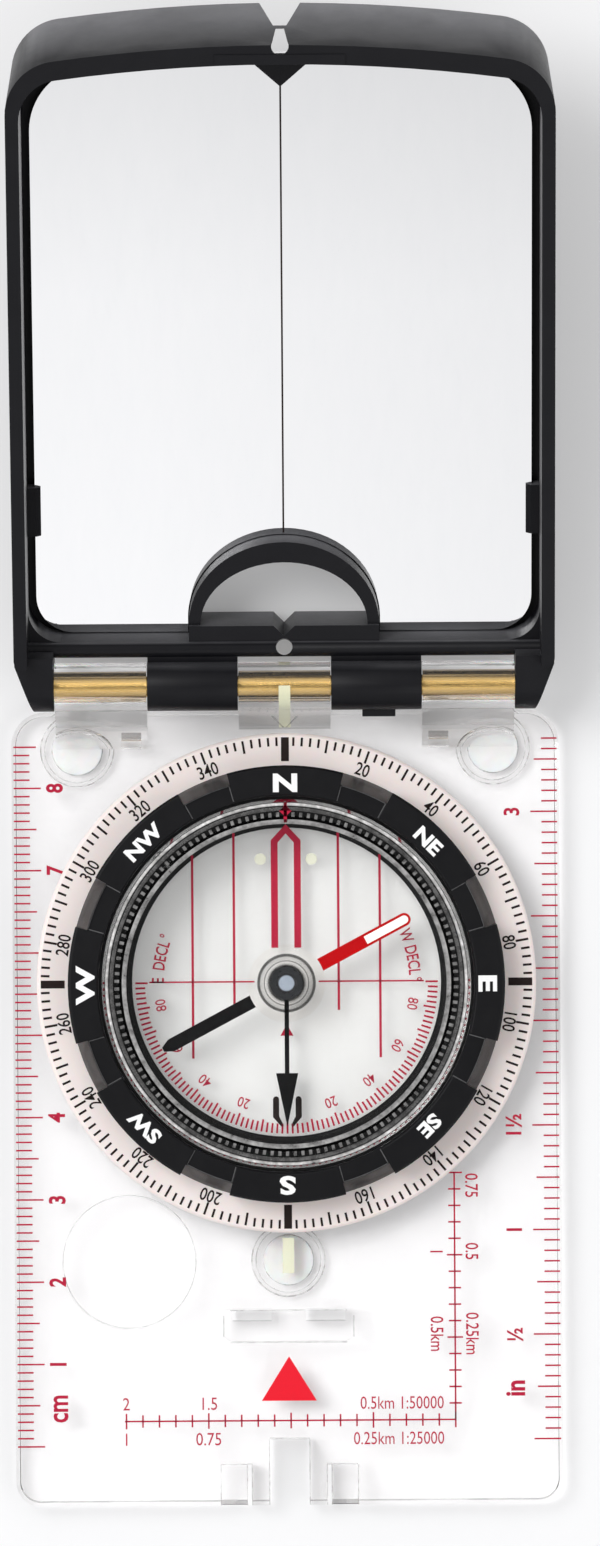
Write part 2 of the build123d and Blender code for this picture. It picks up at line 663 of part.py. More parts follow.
def end_arm(side):
    """Outer hinge arm, flush with the lid's side and bevelled towards the hinge."""
    x0 = min(side * END_ARM_INNER, side * LID_HALF_WIDTH)
    x1 = x0 + END_ARM_WIDTH
    root = LID_NEAR + LID_NEAR_WALL / 2
    arm = rod(KNUCKLE_RADIUS, x0, x1, 0.0, 0.0)
    arm += side_prism(
        [
            (0.0, KNUCKLE_RADIUS),
            (root, KNUCKLE_RADIUS),
            (root, -2 * KNUCKLE_RADIUS),
            (0.0, -KNUCKLE_RADIUS),
        ],
        x0,
        x1,
    )
    outer = side * (LID_HALF_WIDTH + OVERCUT)
    edge = side * LID_HALF_WIDTH
    slope = END_ARM_CHAMFER / (LID_NEAR + KNUCKLE_RADIUS)
    bevel = [
        (edge, LID_NEAR),
        (edge - side * END_ARM_CHAMFER, -KNUCKLE_RADIUS),
        (edge - side * (END_ARM_CHAMFER + slope * OVERCUT), -KNUCKLE_RADIUS - OVERCUT),
        (outer, -KNUCKLE_RADIUS - OVERCUT),
        (outer, LID_NEAR),
    ]
    return arm - flat_prism(bevel, -3 * KNUCKLE_RADIUS, 2 * KNUCKLE_RADIUS)


def lid_shell():
    """Black lid tray with hinge barrels, sighting window, notch, keyhole and pointer."""
    lid = lid_blank() - lid_hollow()
    lid += near_bead()
    lid += sight_bar()
    gap = KNUCKLE_END_GAP
    inner = KNUCKLE_WIDTH / 2 + gap
    outer = SIDE_KNUCKLE_INNER - gap
    for side in (-1, 1):
        lid += lid_barrel(min(side * inner, side * outer), max(side * inner, side * outer))
        lid += end_arm(side)
    half = NUB_WIDTH / 2
    lid += block(NUB_X - half, NUB_X + half, -NUB_REACH, 0.0, -NUB_THICKNESS, 0.0)
    lid += pointer()
    lid += pointer_pad()
    lid -= window_cut()
    lid -= sight_cut()
    lid -= rod(PIN_RADIUS + PIN_CLEARANCE, -LID_HALF_WIDTH, LID_HALF_WIDTH, 0.0, 0.0)
    return in_lid(lid)


def mirror_face(inset):
    """Plan of the mirror, cut out round the sighting bar and arch."""
    half_width = LID_HALF_WIDTH - LID_SIDE_WALL - MIRROR_SIDE_GAP - inset
    near = LID_NEAR + LID_NEAR_WALL + MIRROR_NEAR_GAP + inset
    far = LID_LENGTH - LID_END_WALL - MIRROR_FAR_GAP - inset
    face = lid_face(half_width, near, far, MIRROR_NEAR_CORNER, MIRROR_FAR_CORNER)
    gap = MIRROR_ARCH_GAP + inset
    face -= Pos(0, BAR_FAR) * Ellipse(ARCH_HALF_WIDTH + gap, ARCH_LENGTH + gap)
    bar = Rectangle(2 * (ARCH_HALF_WIDTH + gap), 2 * (BAR_FAR - LID_NEAR + gap))
    return face - Pos(0, LID_NEAR) * bar


def mirror():
    return in_lid(extrude(Pos(0, 0, MIRROR_BACK) * mirror_face(0.0), MIRROR_THICKNESS))


def mirror_pad():
    return in_lid(extrude(Pos(0, 0, FLOOR_LEVEL) * mirror_face(PAD_INSET), PAD_THICKNESS))


def mirror_clip(side):
    """Small black angle pushed between the mirror and the side wall, lapping the glass."""
    wall = LID_HALF_WIDTH - LID_SIDE_WALL
    glass = wall - MIRROR_SIDE_GAP
    x_lap = side * (glass - CLIP_LAP)
    x_leg = side * (glass + CLIP_LEG_GAP)
    x_wall = side * wall
    near = CLIP_U - CLIP_LENGTH / 2
    far = near + CLIP_LENGTH
    top = MIRROR_FRONT + CLIP_THICKNESS
    lap = block(min(x_lap, x_wall), max(x_lap, x_wall), near, far, MIRROR_FRONT, top)
    leg = block(min(x_leg, x_wall), max(x_leg, x_wall), near, far, FLOOR_LEVEL, MIRROR_FRONT)
    edge = lap.edges().filter_by(Axis.Y).group_by(Axis.Z)[-1].sort_by(Axis.X)
    slim = edge[0] if side > 0 else edge[-1]
    return in_lid(chamfer(slim, CLIP_LAP * 0.8) + leg)


# ---------------------------------------------------------------- bezel


def azimuth_ring():
    """Beige degree ring whose skirt turns in the plate's hole."""
    return turned(
        [
            (SKIRT_INNER, RETAINER_TOP),
            (SKIRT_OUTER, RETAINER_TOP),
            (SKIRT_OUTER, FLANGE_BOTTOM),
            (RING_RADIUS, FLANGE_BOTTOM),
            (RING_RADIUS, FLANGE_TOP - RING_CHAMFER),
            (RING_RADIUS - RING_CHAMFER, FLANGE_TOP),
            (SKIRT_INNER, FLANGE_TOP),
        ]
    )


def notch_sector(inner, outer, low, high, heading):
    """Wedge between two radii, for one notch of the grip."""
    half = GRIP_NOTCH_ANGLE / 2
    far = outer / math.cos(math.radians(half))
    points = [(0.0, 0.0), at_angle(heading - half, far), at_angle(heading + half, far)]
    return flat_prism(points, low, high) & ring(outer, inner, low, high)


def notch_slope(root):
    """Cone whose side is the sloping floor of every notch."""
    return Pos(0, 0, FLANGE_TOP) * Cone(GRIP_OUTER, root, GRIP_HEIGHT, align=MIDDLE)


def bezel_grip():
    """Black grip with sloping notches, and a lip that holds the capsule's rim down."""
    pocket = DOME_LIP_RADIUS + DOME_LIP_GAP
    shelf = DOME_CEILING + BEZEL_PLAY
    grip = turned(
        [
            (pocket, FLANGE_TOP),
            (GRIP_OUTER, FLANGE_TOP),
            (GRIP_OUTER, GRIP_TOP - GRIP_CHAMFER),
            (GRIP_OUTER - GRIP_CHAMFER, GRIP_TOP),
            (GRIP_BORE + GRIP_CHAMFER, GRIP_TOP),
            (GRIP_BORE, GRIP_TOP - GRIP_CHAMFER),
            (GRIP_BORE, shelf),
            (pocket, shelf),
        ]
    )
    root = GRIP_OUTER - GRIP_NOTCH_DEPTH
    slope = notch_slope(root)
    step = 360.0 / GRIP_NOTCHES
    for index in range(GRIP_NOTCHES):
        heading = step * (index + 0.5)
        grip -= notch_sector(root, GRIP_OUTER + OVERCUT, FLANGE_TOP, GRIP_TOP + OVERCUT, heading) - slope
        shelf_low = GRIP_TOP - GRIP_NOTCH_SHELF
        grip -= notch_sector(GRIP_BORE - OVERCUT, root, shelf_low, GRIP_TOP + OVERCUT, heading)
    return grip


def retaining_ring():
    """Black ring under the plate: holds the bezel down, the capsule up and the screw in."""
    shell = ring(RETAINER_OUTER, RETAINER_INNER, RETAINER_BOTTOM, RETAINER_TOP)
    x, y = at_angle(SCREW_ANGLE, PINION_CENTRE)
    recess = RETAINER_BOTTOM + SCREW_HEAD_THICKNESS + SCREW_CLEARANCE
    shell -= disc(SCREW_HEAD_RADIUS + SCREW_CLEARANCE, RETAINER_BOTTOM - OVERCUT, recess, x, y)
    return shell - disc(SCREW_SHAFT_RADIUS + SCREW_CLEARANCE, RETAINER_BOTTOM, RETAINER_TOP + OVERCUT, x, y)


# ---------------------------------------------------------------- capsule


def gear_outline(teeth, phase):
    """Outline of a spur gear with straight-sided teeth; one tooth points along phase."""
    pitch_radius = teeth * GEAR_MODULE / 2
    tip = pitch_radius + 0.8 * GEAR_MODULE
    root = pitch_radius - 1.2 * GEAR_MODULE
    step = 360.0 / teeth
    points = []
    for index in range(teeth):
        middle = phase + index * step
        points.append(at_angle(middle - step * GEAR_ROOT_SHARE / 2, root))
        points.append(at_angle(middle - step * GEAR_TIP_SHARE / 2, tip))
        points.append(at_angle(middle + step * GEAR_TIP_SHARE / 2, tip))
        points.append(at_angle(middle + step * GEAR_ROOT_SHARE / 2, root))
    return points


def capsule_dish():
    """Clear dish that forms the dial, with the declination gear round its wall."""
    seat_radius = CAPSULE_OUTER - CAPSULE_SEAT
    dish = turned(
        [
            (0.0, DISH_BOTTOM),
            (seat_radius, DISH_BOTTOM),
            (seat_radius, DISH_SEAT),
            (CAPSULE_OUTER, DISH_SEAT),
            (CAPSULE_OUTER, DISH_RIM),
            (CAPSULE_BORE, DISH_RIM),
            (CAPSULE_BORE, DISH_TOP),
            (0.0, DISH_TOP),
        ]
    )
    teeth = flat_prism(gear_outline(GEAR_TEETH, SCREW_ANGLE), GEAR_BOTTOM, GEAR_BOTTOM + GEAR_FACE)
    dish += teeth - disc((CAPSULE_BORE + CAPSULE_OUTER) / 2, GEAR_BOTTOM - OVERCUT, DISH_RIM)
    return dish - disc(PIN_SHANK_RADIUS, DISH_TOP - PIN_SOCKET_DEPTH, DISH_TOP + OVERCUT)


def plug_shape(reach):
    """Radial cylinder at the fill hole."""
    middle = (DISH_RIM + DOME_CEILING - DOME_RIM) / 2
    plug = Cylinder(PLUG_RADIUS, reach - CAPSULE_BORE, align=MIDDLE)
    return Rot(0, 0, PLUG_ANGLE) * Pos(CAPSULE_BORE, 0, middle) * Rot(0, 90, 0) * plug


def capsule_dome():
    """Clear cover: thin wall, lip under the grip, and a bevelled window pane."""
    rim = DOME_CEILING - DOME_RIM
    dome = turned(
        [
            (CAPSULE_BORE, DISH_RIM),
            (CAPSULE_OUTER, DISH_RIM),
            (CAPSULE_OUTER, rim),
            (DOME_LIP_RADIUS, rim),
            (DOME_LIP_RADIUS, DOME_CEILING),
            (DOME_PANE_RADIUS, DOME_CEILING),
            (DOME_PANE_RADIUS, DOME_TOP - DOME_BEVEL),
            (DOME_PANE_RADIUS - DOME_BEVEL, DOME_TOP),
            (0.0, DOME_TOP),
            (0.0, DOME_CEILING),
            (CAPSULE_BORE, DOME_CEILING),
        ]
    )
    return dome - plug_shape(CAPSULE_OUTER + PLUG_PROUD)


def fill_plug():
    """Plug that closes the hole the damping liquid goes in by."""
    inside = disc(CAPSULE_BORE, DISH_RIM, DOME_CEILING)
    return plug_shape(CAPSULE_OUTER + PLUG_PROUD) - inside


def pivot_pin():
    """Turned steel pin: shank in the dial, neck for the clinometer, point for the needle."""
    bottom = DISH_TOP - PIN_SOCKET_DEPTH
    return turned(
        [
            (0.0, bottom),
            (PIN_SHANK_RADIUS, bottom),
            (PIN_SHANK_RADIUS, PIVOT_STEP),
            (PIN_NECK_RADIUS, PIVOT_STEP),
            (PIN_NECK_RADIUS, PIVOT_NECK_TOP),
            (PIVOT_TIP_RADIUS, PIVOT_TIP),
            (0.0, PIVOT_TIP),
        ]
    )


def declination_screw():
    """Slotted, blackened pinion that shifts the capsule in the bezel."""
    x, y = at_angle(SCREW_ANGLE, PINION_CENTRE)
    phase = SCREW_ANGLE + 180.0 + 180.0 / PINION_TEETH
    head_top = RETAINER_BOTTOM + SCREW_HEAD_THICKNESS
    screw = disc(SCREW_HEAD_RADIUS, RETAINER_BOTTOM, head_top)
    slot = SCREW_SLOT / 2
    depth = SCREW_HEAD_THICKNESS * 0.6
    screw -= block(
        -2 * SCREW_HEAD_RADIUS, 2 * SCREW_HEAD_RADIUS, -slot, slot, 0.0, RETAINER_BOTTOM + depth
    )
    screw += disc(SCREW_SHAFT_RADIUS, head_top, GEAR_BOTTOM)
    screw += disc(SCREW_SHOULDER_RADIUS, RETAINER_TOP + SCREW_CLEARANCE, GEAR_BOTTOM)
    screw += flat_prism(gear_outline(PINION_TEETH, phase), GEAR_BOTTOM, GEAR_BOTTOM + GEAR_FACE)
    return Pos(x, y, 0) * screw


# ---------------------------------------------------------------- clinometer and needle


def clinometer_arrow():
    """Black pendulum arrow on a bush that turns on the pin's neck."""
    low = PIVOT_STEP + BUSH_PLAY
    bush = ring(BUSH_RADIUS, PIN_NECK_RADIUS + BUSH_CLEARANCE, low, low + BUSH_THICKNESS)
    stem = CLINO_STEM / 2
    head = CLINO_HEAD_WIDTH / 2
    start = BUSH_RADIUS * 0.9
    points = [
        (-stem, -start),
        (-stem, -CLINO_HEAD_START),
        (-head, -CLINO_HEAD_START),
        (0.0, -CLINO_REACH),
        (head, -CLINO_HEAD_START),
        (stem, -CLINO_HEAD_START),
        (stem, -start),
    ]
    level = low + (BUSH_THICKNESS - CLINO_THICKNESS) / 2
    return bush + flat_prism(points, level, level + CLINO_THICKNESS)


def needle_frame(shape):
    """Turn a needle piece, drawn pointing along +Y, to its resting heading."""
    return Rot(0, 0, -NEEDLE_HEADING) * shape


def magnet_bottom():
    return NEEDLE_HEIGHT + (HUB_THICKNESS - MAGNET_THICKNESS) / 2


def needle_hub():
    """Clear disc that joins the two blades, with a boss round the magnet."""
    low = magnet_bottom()
    flange = ring(HUB_RADIUS, MAGNET_RADIUS, NEEDLE_HEIGHT, NEEDLE_HEIGHT + HUB_THICKNESS)
    return flange + ring(HUB_BOSS_RADIUS, MAGNET_RADIUS, low, low + MAGNET_THICKNESS)


def north_blade():
    """Blade with a rounded tip, before the luminous inset is let in."""
    half = NEEDLE_WIDTH / 2
    top = NEEDLE_HEIGHT + NEEDLE_THICKNESS
    blade = block(-half, half, 0.0, NEEDLE_REACH - half, NEEDLE_HEIGHT, top)
    blade += disc(half, NEEDLE_HEIGHT, top, 0.0, NEEDLE_REACH - half)
    return blade - disc(HUB_RADIUS, NEEDLE_HEIGHT - OVERCUT, top + OVERCUT)


def lume_inset(top):
    half = NEEDLE_WIDTH / 2 - LUME_INSET_BORDER
    low = NEEDLE_HEIGHT + NEEDLE_THICKNESS - LUME_INSET_DEPTH
    tip = NEEDLE_REACH - NEEDLE_WIDTH / 2
    return block(-half, half, LUME_INSET_START, tip, low, top) + disc(half, low, top, 0.0, tip)


def needle_north():
    """Red north blade with a pocket for its luminous inset."""
    pocket = lume_inset(NEEDLE_HEIGHT + NEEDLE_THICKNESS + OVERCUT)
    return needle_frame(north_blade() - pocket)


def needle_lume():
    return needle_frame(lume_inset(NEEDLE_HEIGHT + NEEDLE_THICKNESS + LUME_INSET_PROUD))


def needle_south():
    """Black south blade with a cropped point."""
    half = NEEDLE_WIDTH / 2
    crop = half * 0.35
    top = NEEDLE_HEIGHT + NEEDLE_THICKNESS
    points = [
        (-half, 0.0),
        (-half, NEEDLE_POINT - NEEDLE_REACH),
        (-crop, -NEEDLE_REACH),
        (crop, -NEEDLE_REACH),
        (half, NEEDLE_POINT - NEEDLE_REACH),
        (half, 0.0),
    ]
    blade = flat_prism(points, NEEDLE_HEIGHT, top)
    return needle_frame(blade - disc(HUB_RADIUS, NEEDLE_HEIGHT - OVERCUT, top + OVERCUT))


def needle_magnet():
    """Disc magnet in the hub, bored for the jewel."""
    low = magnet_bottom()
    return ring(MAGNET_RADIUS, JEWEL_RADIUS, low, low + MAGNET_THICKNESS)


def jewel_bearing():
    """Jewel with a conical cup that rides on the pivot's point."""
    low = magnet_bottom()
    top = low + MAGNET_THICKNESS
    cup = PIVOT_TIP + JEWEL_GAP
    return turned(
        [
            (JEWEL_CUP_RADIUS + JEWEL_GAP, low),
            (JEWEL_RADIUS, low),
            (JEWEL_RADIUS, top),
            (0.0, top),
            (0.0, cup),
            (PIVOT_TIP_RADIUS + JEWEL_GAP, cup),
        ]
    )


# ---------------------------------------------------------------- all pieces


def all_pieces():
    pieces = {
        "baseplate": baseplate(),
        "hinge_pin": hinge_pin(),
        "index_lume_front": front_lume_shape(),
        "index_lume_rear": rear_lume_shape(),
        "lid_shell": lid_shell(),
        "mirror": mirror(),
        "mirror_pad": mirror_pad(),
        "mirror_clip_left": mirror_clip(-1),
        "mirror_clip_right": mirror_clip(1),
        "azimuth_ring": azimuth_ring(),
        "bezel_grip": bezel_grip(),
        "retaining_ring": retaining_ring(),
        "declination_screw": declination_screw(),
        "capsule_dish": capsule_dish(),
        "capsule_dome": capsule_dome(),
        "fill_plug": fill_plug(),
        "pivot_pin": pivot_pin(),
        "clinometer_arrow": clinometer_arrow(),
        "needle_hub": needle_hub(),
        "needle_north": needle_north(),
        "needle_lume": needle_lume(),
        "needle_south": needle_south(),
        "needle_magnet": needle_magnet(),
        "jewel_bearing": jewel_bearing(),
    }
    for name, (x, y) in foot_places().items():
        pieces[name] = foot(x, y)
    return pieces


os.makedirs("parts", exist_ok=True)
for name, piece in all_pieces().items():
    export_step(piece, f"parts/{name}.step")
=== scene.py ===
import bpy
import bmesh
import json
import math
from mathutils import Matrix, Vector

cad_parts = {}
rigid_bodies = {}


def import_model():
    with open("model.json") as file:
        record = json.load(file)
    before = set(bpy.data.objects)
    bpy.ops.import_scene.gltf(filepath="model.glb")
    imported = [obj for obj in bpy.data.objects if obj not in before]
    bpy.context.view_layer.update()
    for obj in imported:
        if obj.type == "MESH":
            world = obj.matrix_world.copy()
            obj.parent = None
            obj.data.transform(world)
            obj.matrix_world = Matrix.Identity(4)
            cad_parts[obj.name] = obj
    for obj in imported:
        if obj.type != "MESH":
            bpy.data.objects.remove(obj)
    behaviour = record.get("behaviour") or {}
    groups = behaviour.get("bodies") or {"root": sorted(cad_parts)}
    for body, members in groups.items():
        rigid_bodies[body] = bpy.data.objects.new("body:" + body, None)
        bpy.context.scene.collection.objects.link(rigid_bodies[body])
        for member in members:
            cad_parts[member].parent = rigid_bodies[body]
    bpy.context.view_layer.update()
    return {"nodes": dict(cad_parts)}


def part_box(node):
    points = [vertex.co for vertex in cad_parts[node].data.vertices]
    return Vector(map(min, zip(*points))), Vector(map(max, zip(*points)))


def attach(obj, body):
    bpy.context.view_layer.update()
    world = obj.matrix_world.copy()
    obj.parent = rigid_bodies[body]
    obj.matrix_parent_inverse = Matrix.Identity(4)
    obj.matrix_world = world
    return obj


for default_thing in list(bpy.data.objects):
    bpy.data.objects.remove(default_thing)

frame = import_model()
nodes = frame["nodes"]
MM = 0.001


# The camera looks straight down from just under a metre, along the plate's length,
# so the tilted lid shows its tray, and the plate and bezel show their faces.
CAMERA_HEIGHT = 950 * MM
CAMERA_PLACE = (1.81 * MM, 25.45 * MM)
CAMERA_LENS = 181.4
CAMERA_ROLL = -0.39
camera_data = bpy.data.cameras.new("camera")
camera_data.lens = CAMERA_LENS
camera_data.sensor_width = 36
camera_data.clip_end = 20
camera = bpy.data.objects.new("camera", camera_data)
camera.location = (*CAMERA_PLACE, CAMERA_HEIGHT)
camera.rotation_euler = (0, 0, math.radians(CAMERA_ROLL))
bpy.context.scene.collection.objects.link(camera)
bpy.context.scene.camera = camera
bpy.context.scene.view_settings.view_transform = "Standard"


class Wire:
    """One socket of a node tree. Arithmetic on it adds Math nodes; node() adds any other node."""

    def __init__(self, tree, socket=None):
        self.tree = tree
        self.socket = socket

    def node(self, kind, settings=None, inputs=None, output=0):
        made = self.tree.nodes.new(kind)
        for key, value in (settings or {}).items():
            if key == "stops":
                ramp = made.color_ramp
                for place, _ in value[1:-1]:
                    ramp.elements.new(place)
                ramp.elements[0].position = value[0][0]
                ramp.elements[-1].position = value[-1][0]
                for element, (_, colour) in zip(ramp.elements, value):
                    element.color = (*colour, 1)
            else:
                setattr(made, key, value)
        for key, value in (inputs or {}).items():
            if isinstance(value, Wire):
                self.tree.links.new(value.socket, made.inputs[key])
            else:
                made.inputs[key].default_value = value
        return Wire(self.tree, made.outputs[output])

    def math(self, operation, *values):
        return self.node("ShaderNodeMath", {"operation": operation}, dict(enumerate(values)))

    def __add__(self, other):
        return self.math("ADD", self, other)

    def __sub__(self, other):
        return self.math("SUBTRACT", self, other)

    def __rsub__(self, other):
        return self.math("SUBTRACT", other, self)

    def __mul__(self, other):
        return self.math("MULTIPLY", self, other)

    __radd__ = __add__
    __rmul__ = __mul__

    def clamp(self, low, high):
        return self.math("MINIMUM", self.math("MAXIMUM", self, low), high)

    def feed(self, node, socket):
        self.tree.links.new(self.socket, node.inputs[socket])


# The table is a plain pale sheet that glows faintly. The white room is dimmer straight overhead and to
# the right, and two large soft lamps, the left one stronger, open the shadows.
FLOOR_SIZE = 3.0
room = bpy.data.worlds.new("room")
room.use_nodes = True
bpy.context.scene.world = room
room_wire = Wire(room.node_tree)
sky = room_wire.node("ShaderNodeTexCoord", output=0)
height = room_wire.node("ShaderNodeSeparateXYZ", inputs={"Vector": sky}, output=2)
rightward = room_wire.node("ShaderNodeSeparateXYZ", inputs={"Vector": sky}, output=0)
sky_stops = [(0.0, 0.5), (0.45, 0.62), (0.75, 0.92), (0.87, 1.0)]
sky_stops += [(0.895, 0.93), (0.915, 0.72), (0.96, 0.3), (0.99, 0.07)]
glow = room_wire.node(
    "ShaderNodeValToRGB",
    {"stops": [(place, (level, level, level * 1.01)) for place, level in sky_stops]},
    {"Fac": height},
)
dimmed = (rightward + 0.02).clamp(0, 0.12) * -1.6 + 1.0
lit_sky = glow.node("ShaderNodeVectorMath", {"operation": "SCALE"}, {0: glow, "Scale": dimmed})
lit_sky.feed(room.node_tree.nodes["Background"], "Color")
room.node_tree.nodes["Background"].inputs["Strength"].default_value = 1.02


def soft_lamp(name, place, size, power):
    """A large square lamp that faces the compass."""
    data = bpy.data.lights.new(name, "AREA")
    data.shape = "SQUARE"
    data.size = size
    data.energy = power
    lamp = bpy.data.objects.new(name, data)
    lamp.location = place
    lamp.rotation_euler = (Vector((0, 0.02, 0)) - Vector(place)).to_track_quat("-Z", "Y").to_euler()
    bpy.context.scene.collection.objects.link(lamp)


soft_lamp("key_lamp", (-0.75, 0.45, 1.25), 0.8, 11)
soft_lamp("fill_lamp", (0.9, -0.5, 1.3), 1.0, 4)
table_data = bpy.data.meshes.new("table")
half = FLOOR_SIZE / 2
table_corners = [(-half, -half, 0), (half, -half, 0), (half, half, 0), (-half, half, 0)]
table_data.from_pydata(table_corners, [], [(0, 1, 2, 3)])
table = bpy.data.objects.new("table", table_data)
table.location = (0, 0, -0.02 * MM)
bpy.context.scene.collection.objects.link(table)
table_paint = bpy.data.materials.new("table_paint")
table_paint.use_nodes = True
table_shader = table_paint.node_tree.nodes["Principled BSDF"]
table_shader.inputs["Base Color"].default_value = (0.7, 0.7, 0.705, 1)
table_shader.inputs["Emission Color"].default_value = (1, 1, 1, 1)
table_shader.inputs["Emission Strength"].default_value = 0.2
table_shader.inputs["Roughness"].default_value = 0.75
table_shader.inputs["Specular IOR Level"].default_value = 0.1
table_data.materials.append(table_paint)


# The base plate is a clear acrylic injection moulding: polished faces with faint flow
# ripple and hairline scuffs, a faint, slightly warm cloudy tone in patches, and grey
# painted shade on its cut edges and groove walls.
def principled(name, **fixed):
    """A new Principled material, its shader and a first wire; fixed values go on the shader."""
    made = bpy.data.materials.new(name)
    made.use_nodes = True
    shader = made.node_tree.nodes["Principled BSDF"]
    for key, value in fixed.items():
        shader.inputs[key.replace("_", " ").title().replace("Ior", "IOR")].default_value = value
    wire = Wire(made.node_tree)
    return made, shader, wire


def in_millimetres(wire):
    """The surface point in millimetres, in the piece's own frame."""
    point = wire.node("ShaderNodeTexCoord", output=3)
    return wire.node("ShaderNodeVectorMath", {"operation": "SCALE"}, {0: point, "Scale": 1000})


def noise(point, scale, detail=3, roughness=0.5):
    """Smooth noise from 0 to 1, scale blobs to the millimetre."""
    inputs = {"Vector": point, "Scale": scale, "Detail": detail, "Roughness": roughness}
    return point.node("ShaderNodeTexNoise", inputs=inputs)


def stretched(point, factors):
    """The same point with its three axes scaled, for streaks and brush lines."""
    return point.node("ShaderNodeVectorMath", {"operation": "MULTIPLY"}, {0: point, 1: factors})


def blend_colours(factor, first, second):
    """The first colour where factor is 0, the second where it is 1."""
    inputs = {0: factor, 6: first, 7: second}
    return factor.node("ShaderNodeMix", {"data_type": "RGBA"}, inputs, output=2)


def bump(heights, strength, distance):
    """A Normal that follows heights, over a distance in metres."""
    inputs = {"Height": heights, "Strength": strength, "Distance": distance}
    return heights.node("ShaderNodeBump", inputs=inputs)


def dress(node_names, made):
    """Give these carried-over pieces one material."""
    for name in node_names:
        data = nodes[name].data
        data.materials.clear()
        data.materials.append(made)


def upright_share(wire):
    """0 on faces that lie flat, rising to 1 on walls, chamfers and other cut edges."""
    facing = wire.node("ShaderNodeTexCoord", output=1)
    upward = wire.node("ShaderNodeSeparateXYZ", inputs={"Vector": facing}, output=2)
    return (0.85 - upward.math("ABSOLUTE", upward)).clamp(0.0, 0.5) * 2.0


def clear_plastic(name, tint, dusty, cut_edge, haze, edge_top):
    """Clear moulded acrylic. Lamps shine through it, so what is behind stays lit.
    Up to a height, its cut edges and groove walls are painted greyer: painted shade that draws them."""
    made, shader, wire = principled(name, ior=1.49, transmission_weight=1.0, specular_ior_level=0.4)
    point = in_millimetres(wire)
    cloud = noise(point, 0.09, 2)
    polished = blend_colours(cloud, (*tint, 1), (*dusty, 1))
    rise = wire.node("ShaderNodeSeparateXYZ", inputs={"Vector": point}, output=2)
    # Painted shade: upright faces below edge_top are greyed towards cut_edge.
    edges = upright_share(wire) * (edge_top - rise).clamp(0, 1)
    toned = blend_colours(edges, polished, (*cut_edge, 1))
    toned.feed(shader, "Base Color")
    hairlines = noise(stretched(point, (0.25, 6.0, 1.0)), 1.4, 4, 0.7)
    scuffs = (hairlines.clamp(0.62, 0.7) - 0.62) * 12.5
    (scuffs * 0.05 + haze).feed(shader, "Roughness")
    ripple = noise(point, 0.16, 1)
    bump(ripple, 0.08, 0.1 * MM).feed(shader, "Normal")
    lamp_ray = wire.node("ShaderNodeLightPath", output=1)
    through = wire.node("ShaderNodeBsdfTransparent", inputs={"Color": (*tint, 1)})
    face = Wire(made.node_tree, shader.outputs[0])
    both = wire.node("ShaderNodeMixShader", inputs={0: lamp_ray * (1 - edges * 0.5), 1: face, 2: through})
    both.feed(made.node_tree.nodes["Material Output"], "Surface")
    return made


plate_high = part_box("baseplate")[1]
plate_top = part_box("index_lume_rear")[1].z
clear_acrylic = clear_plastic(
    "clear_acrylic", (0.975, 0.97, 0.97), (0.955, 0.95, 0.95), (0.5, 0.495, 0.49), 0.02, 4.4
)
dress(["baseplate"], clear_acrylic)


# Rulers and map scales are pad-printed in crimson ink on the plate's upper face:
# ticks as fine bars, figures in a plain drawing-office letter.
DECAL_THICKNESS = 0.02 * MM
DECAL_LIFT = 0.005 * MM
crimson_ink, crimson_shader, crimson_wire = principled("crimson_ink", specular_ior_level=0.15)
ink_point = in_millimetres(crimson_wire)
ink_patches = noise(ink_point, 2.2, 4, 0.6)
blend_colours(ink_patches, (0.5, 0.014, 0.05, 1), (0.41, 0.01, 0.04, 1)).feed(crimson_shader, "Base Color")
(ink_patches * 0.2 + 0.35).feed(crimson_shader, "Roughness")
bump(noise(ink_point, 9, 2), 0.15, 0.02 * MM).feed(crimson_shader, "Normal")


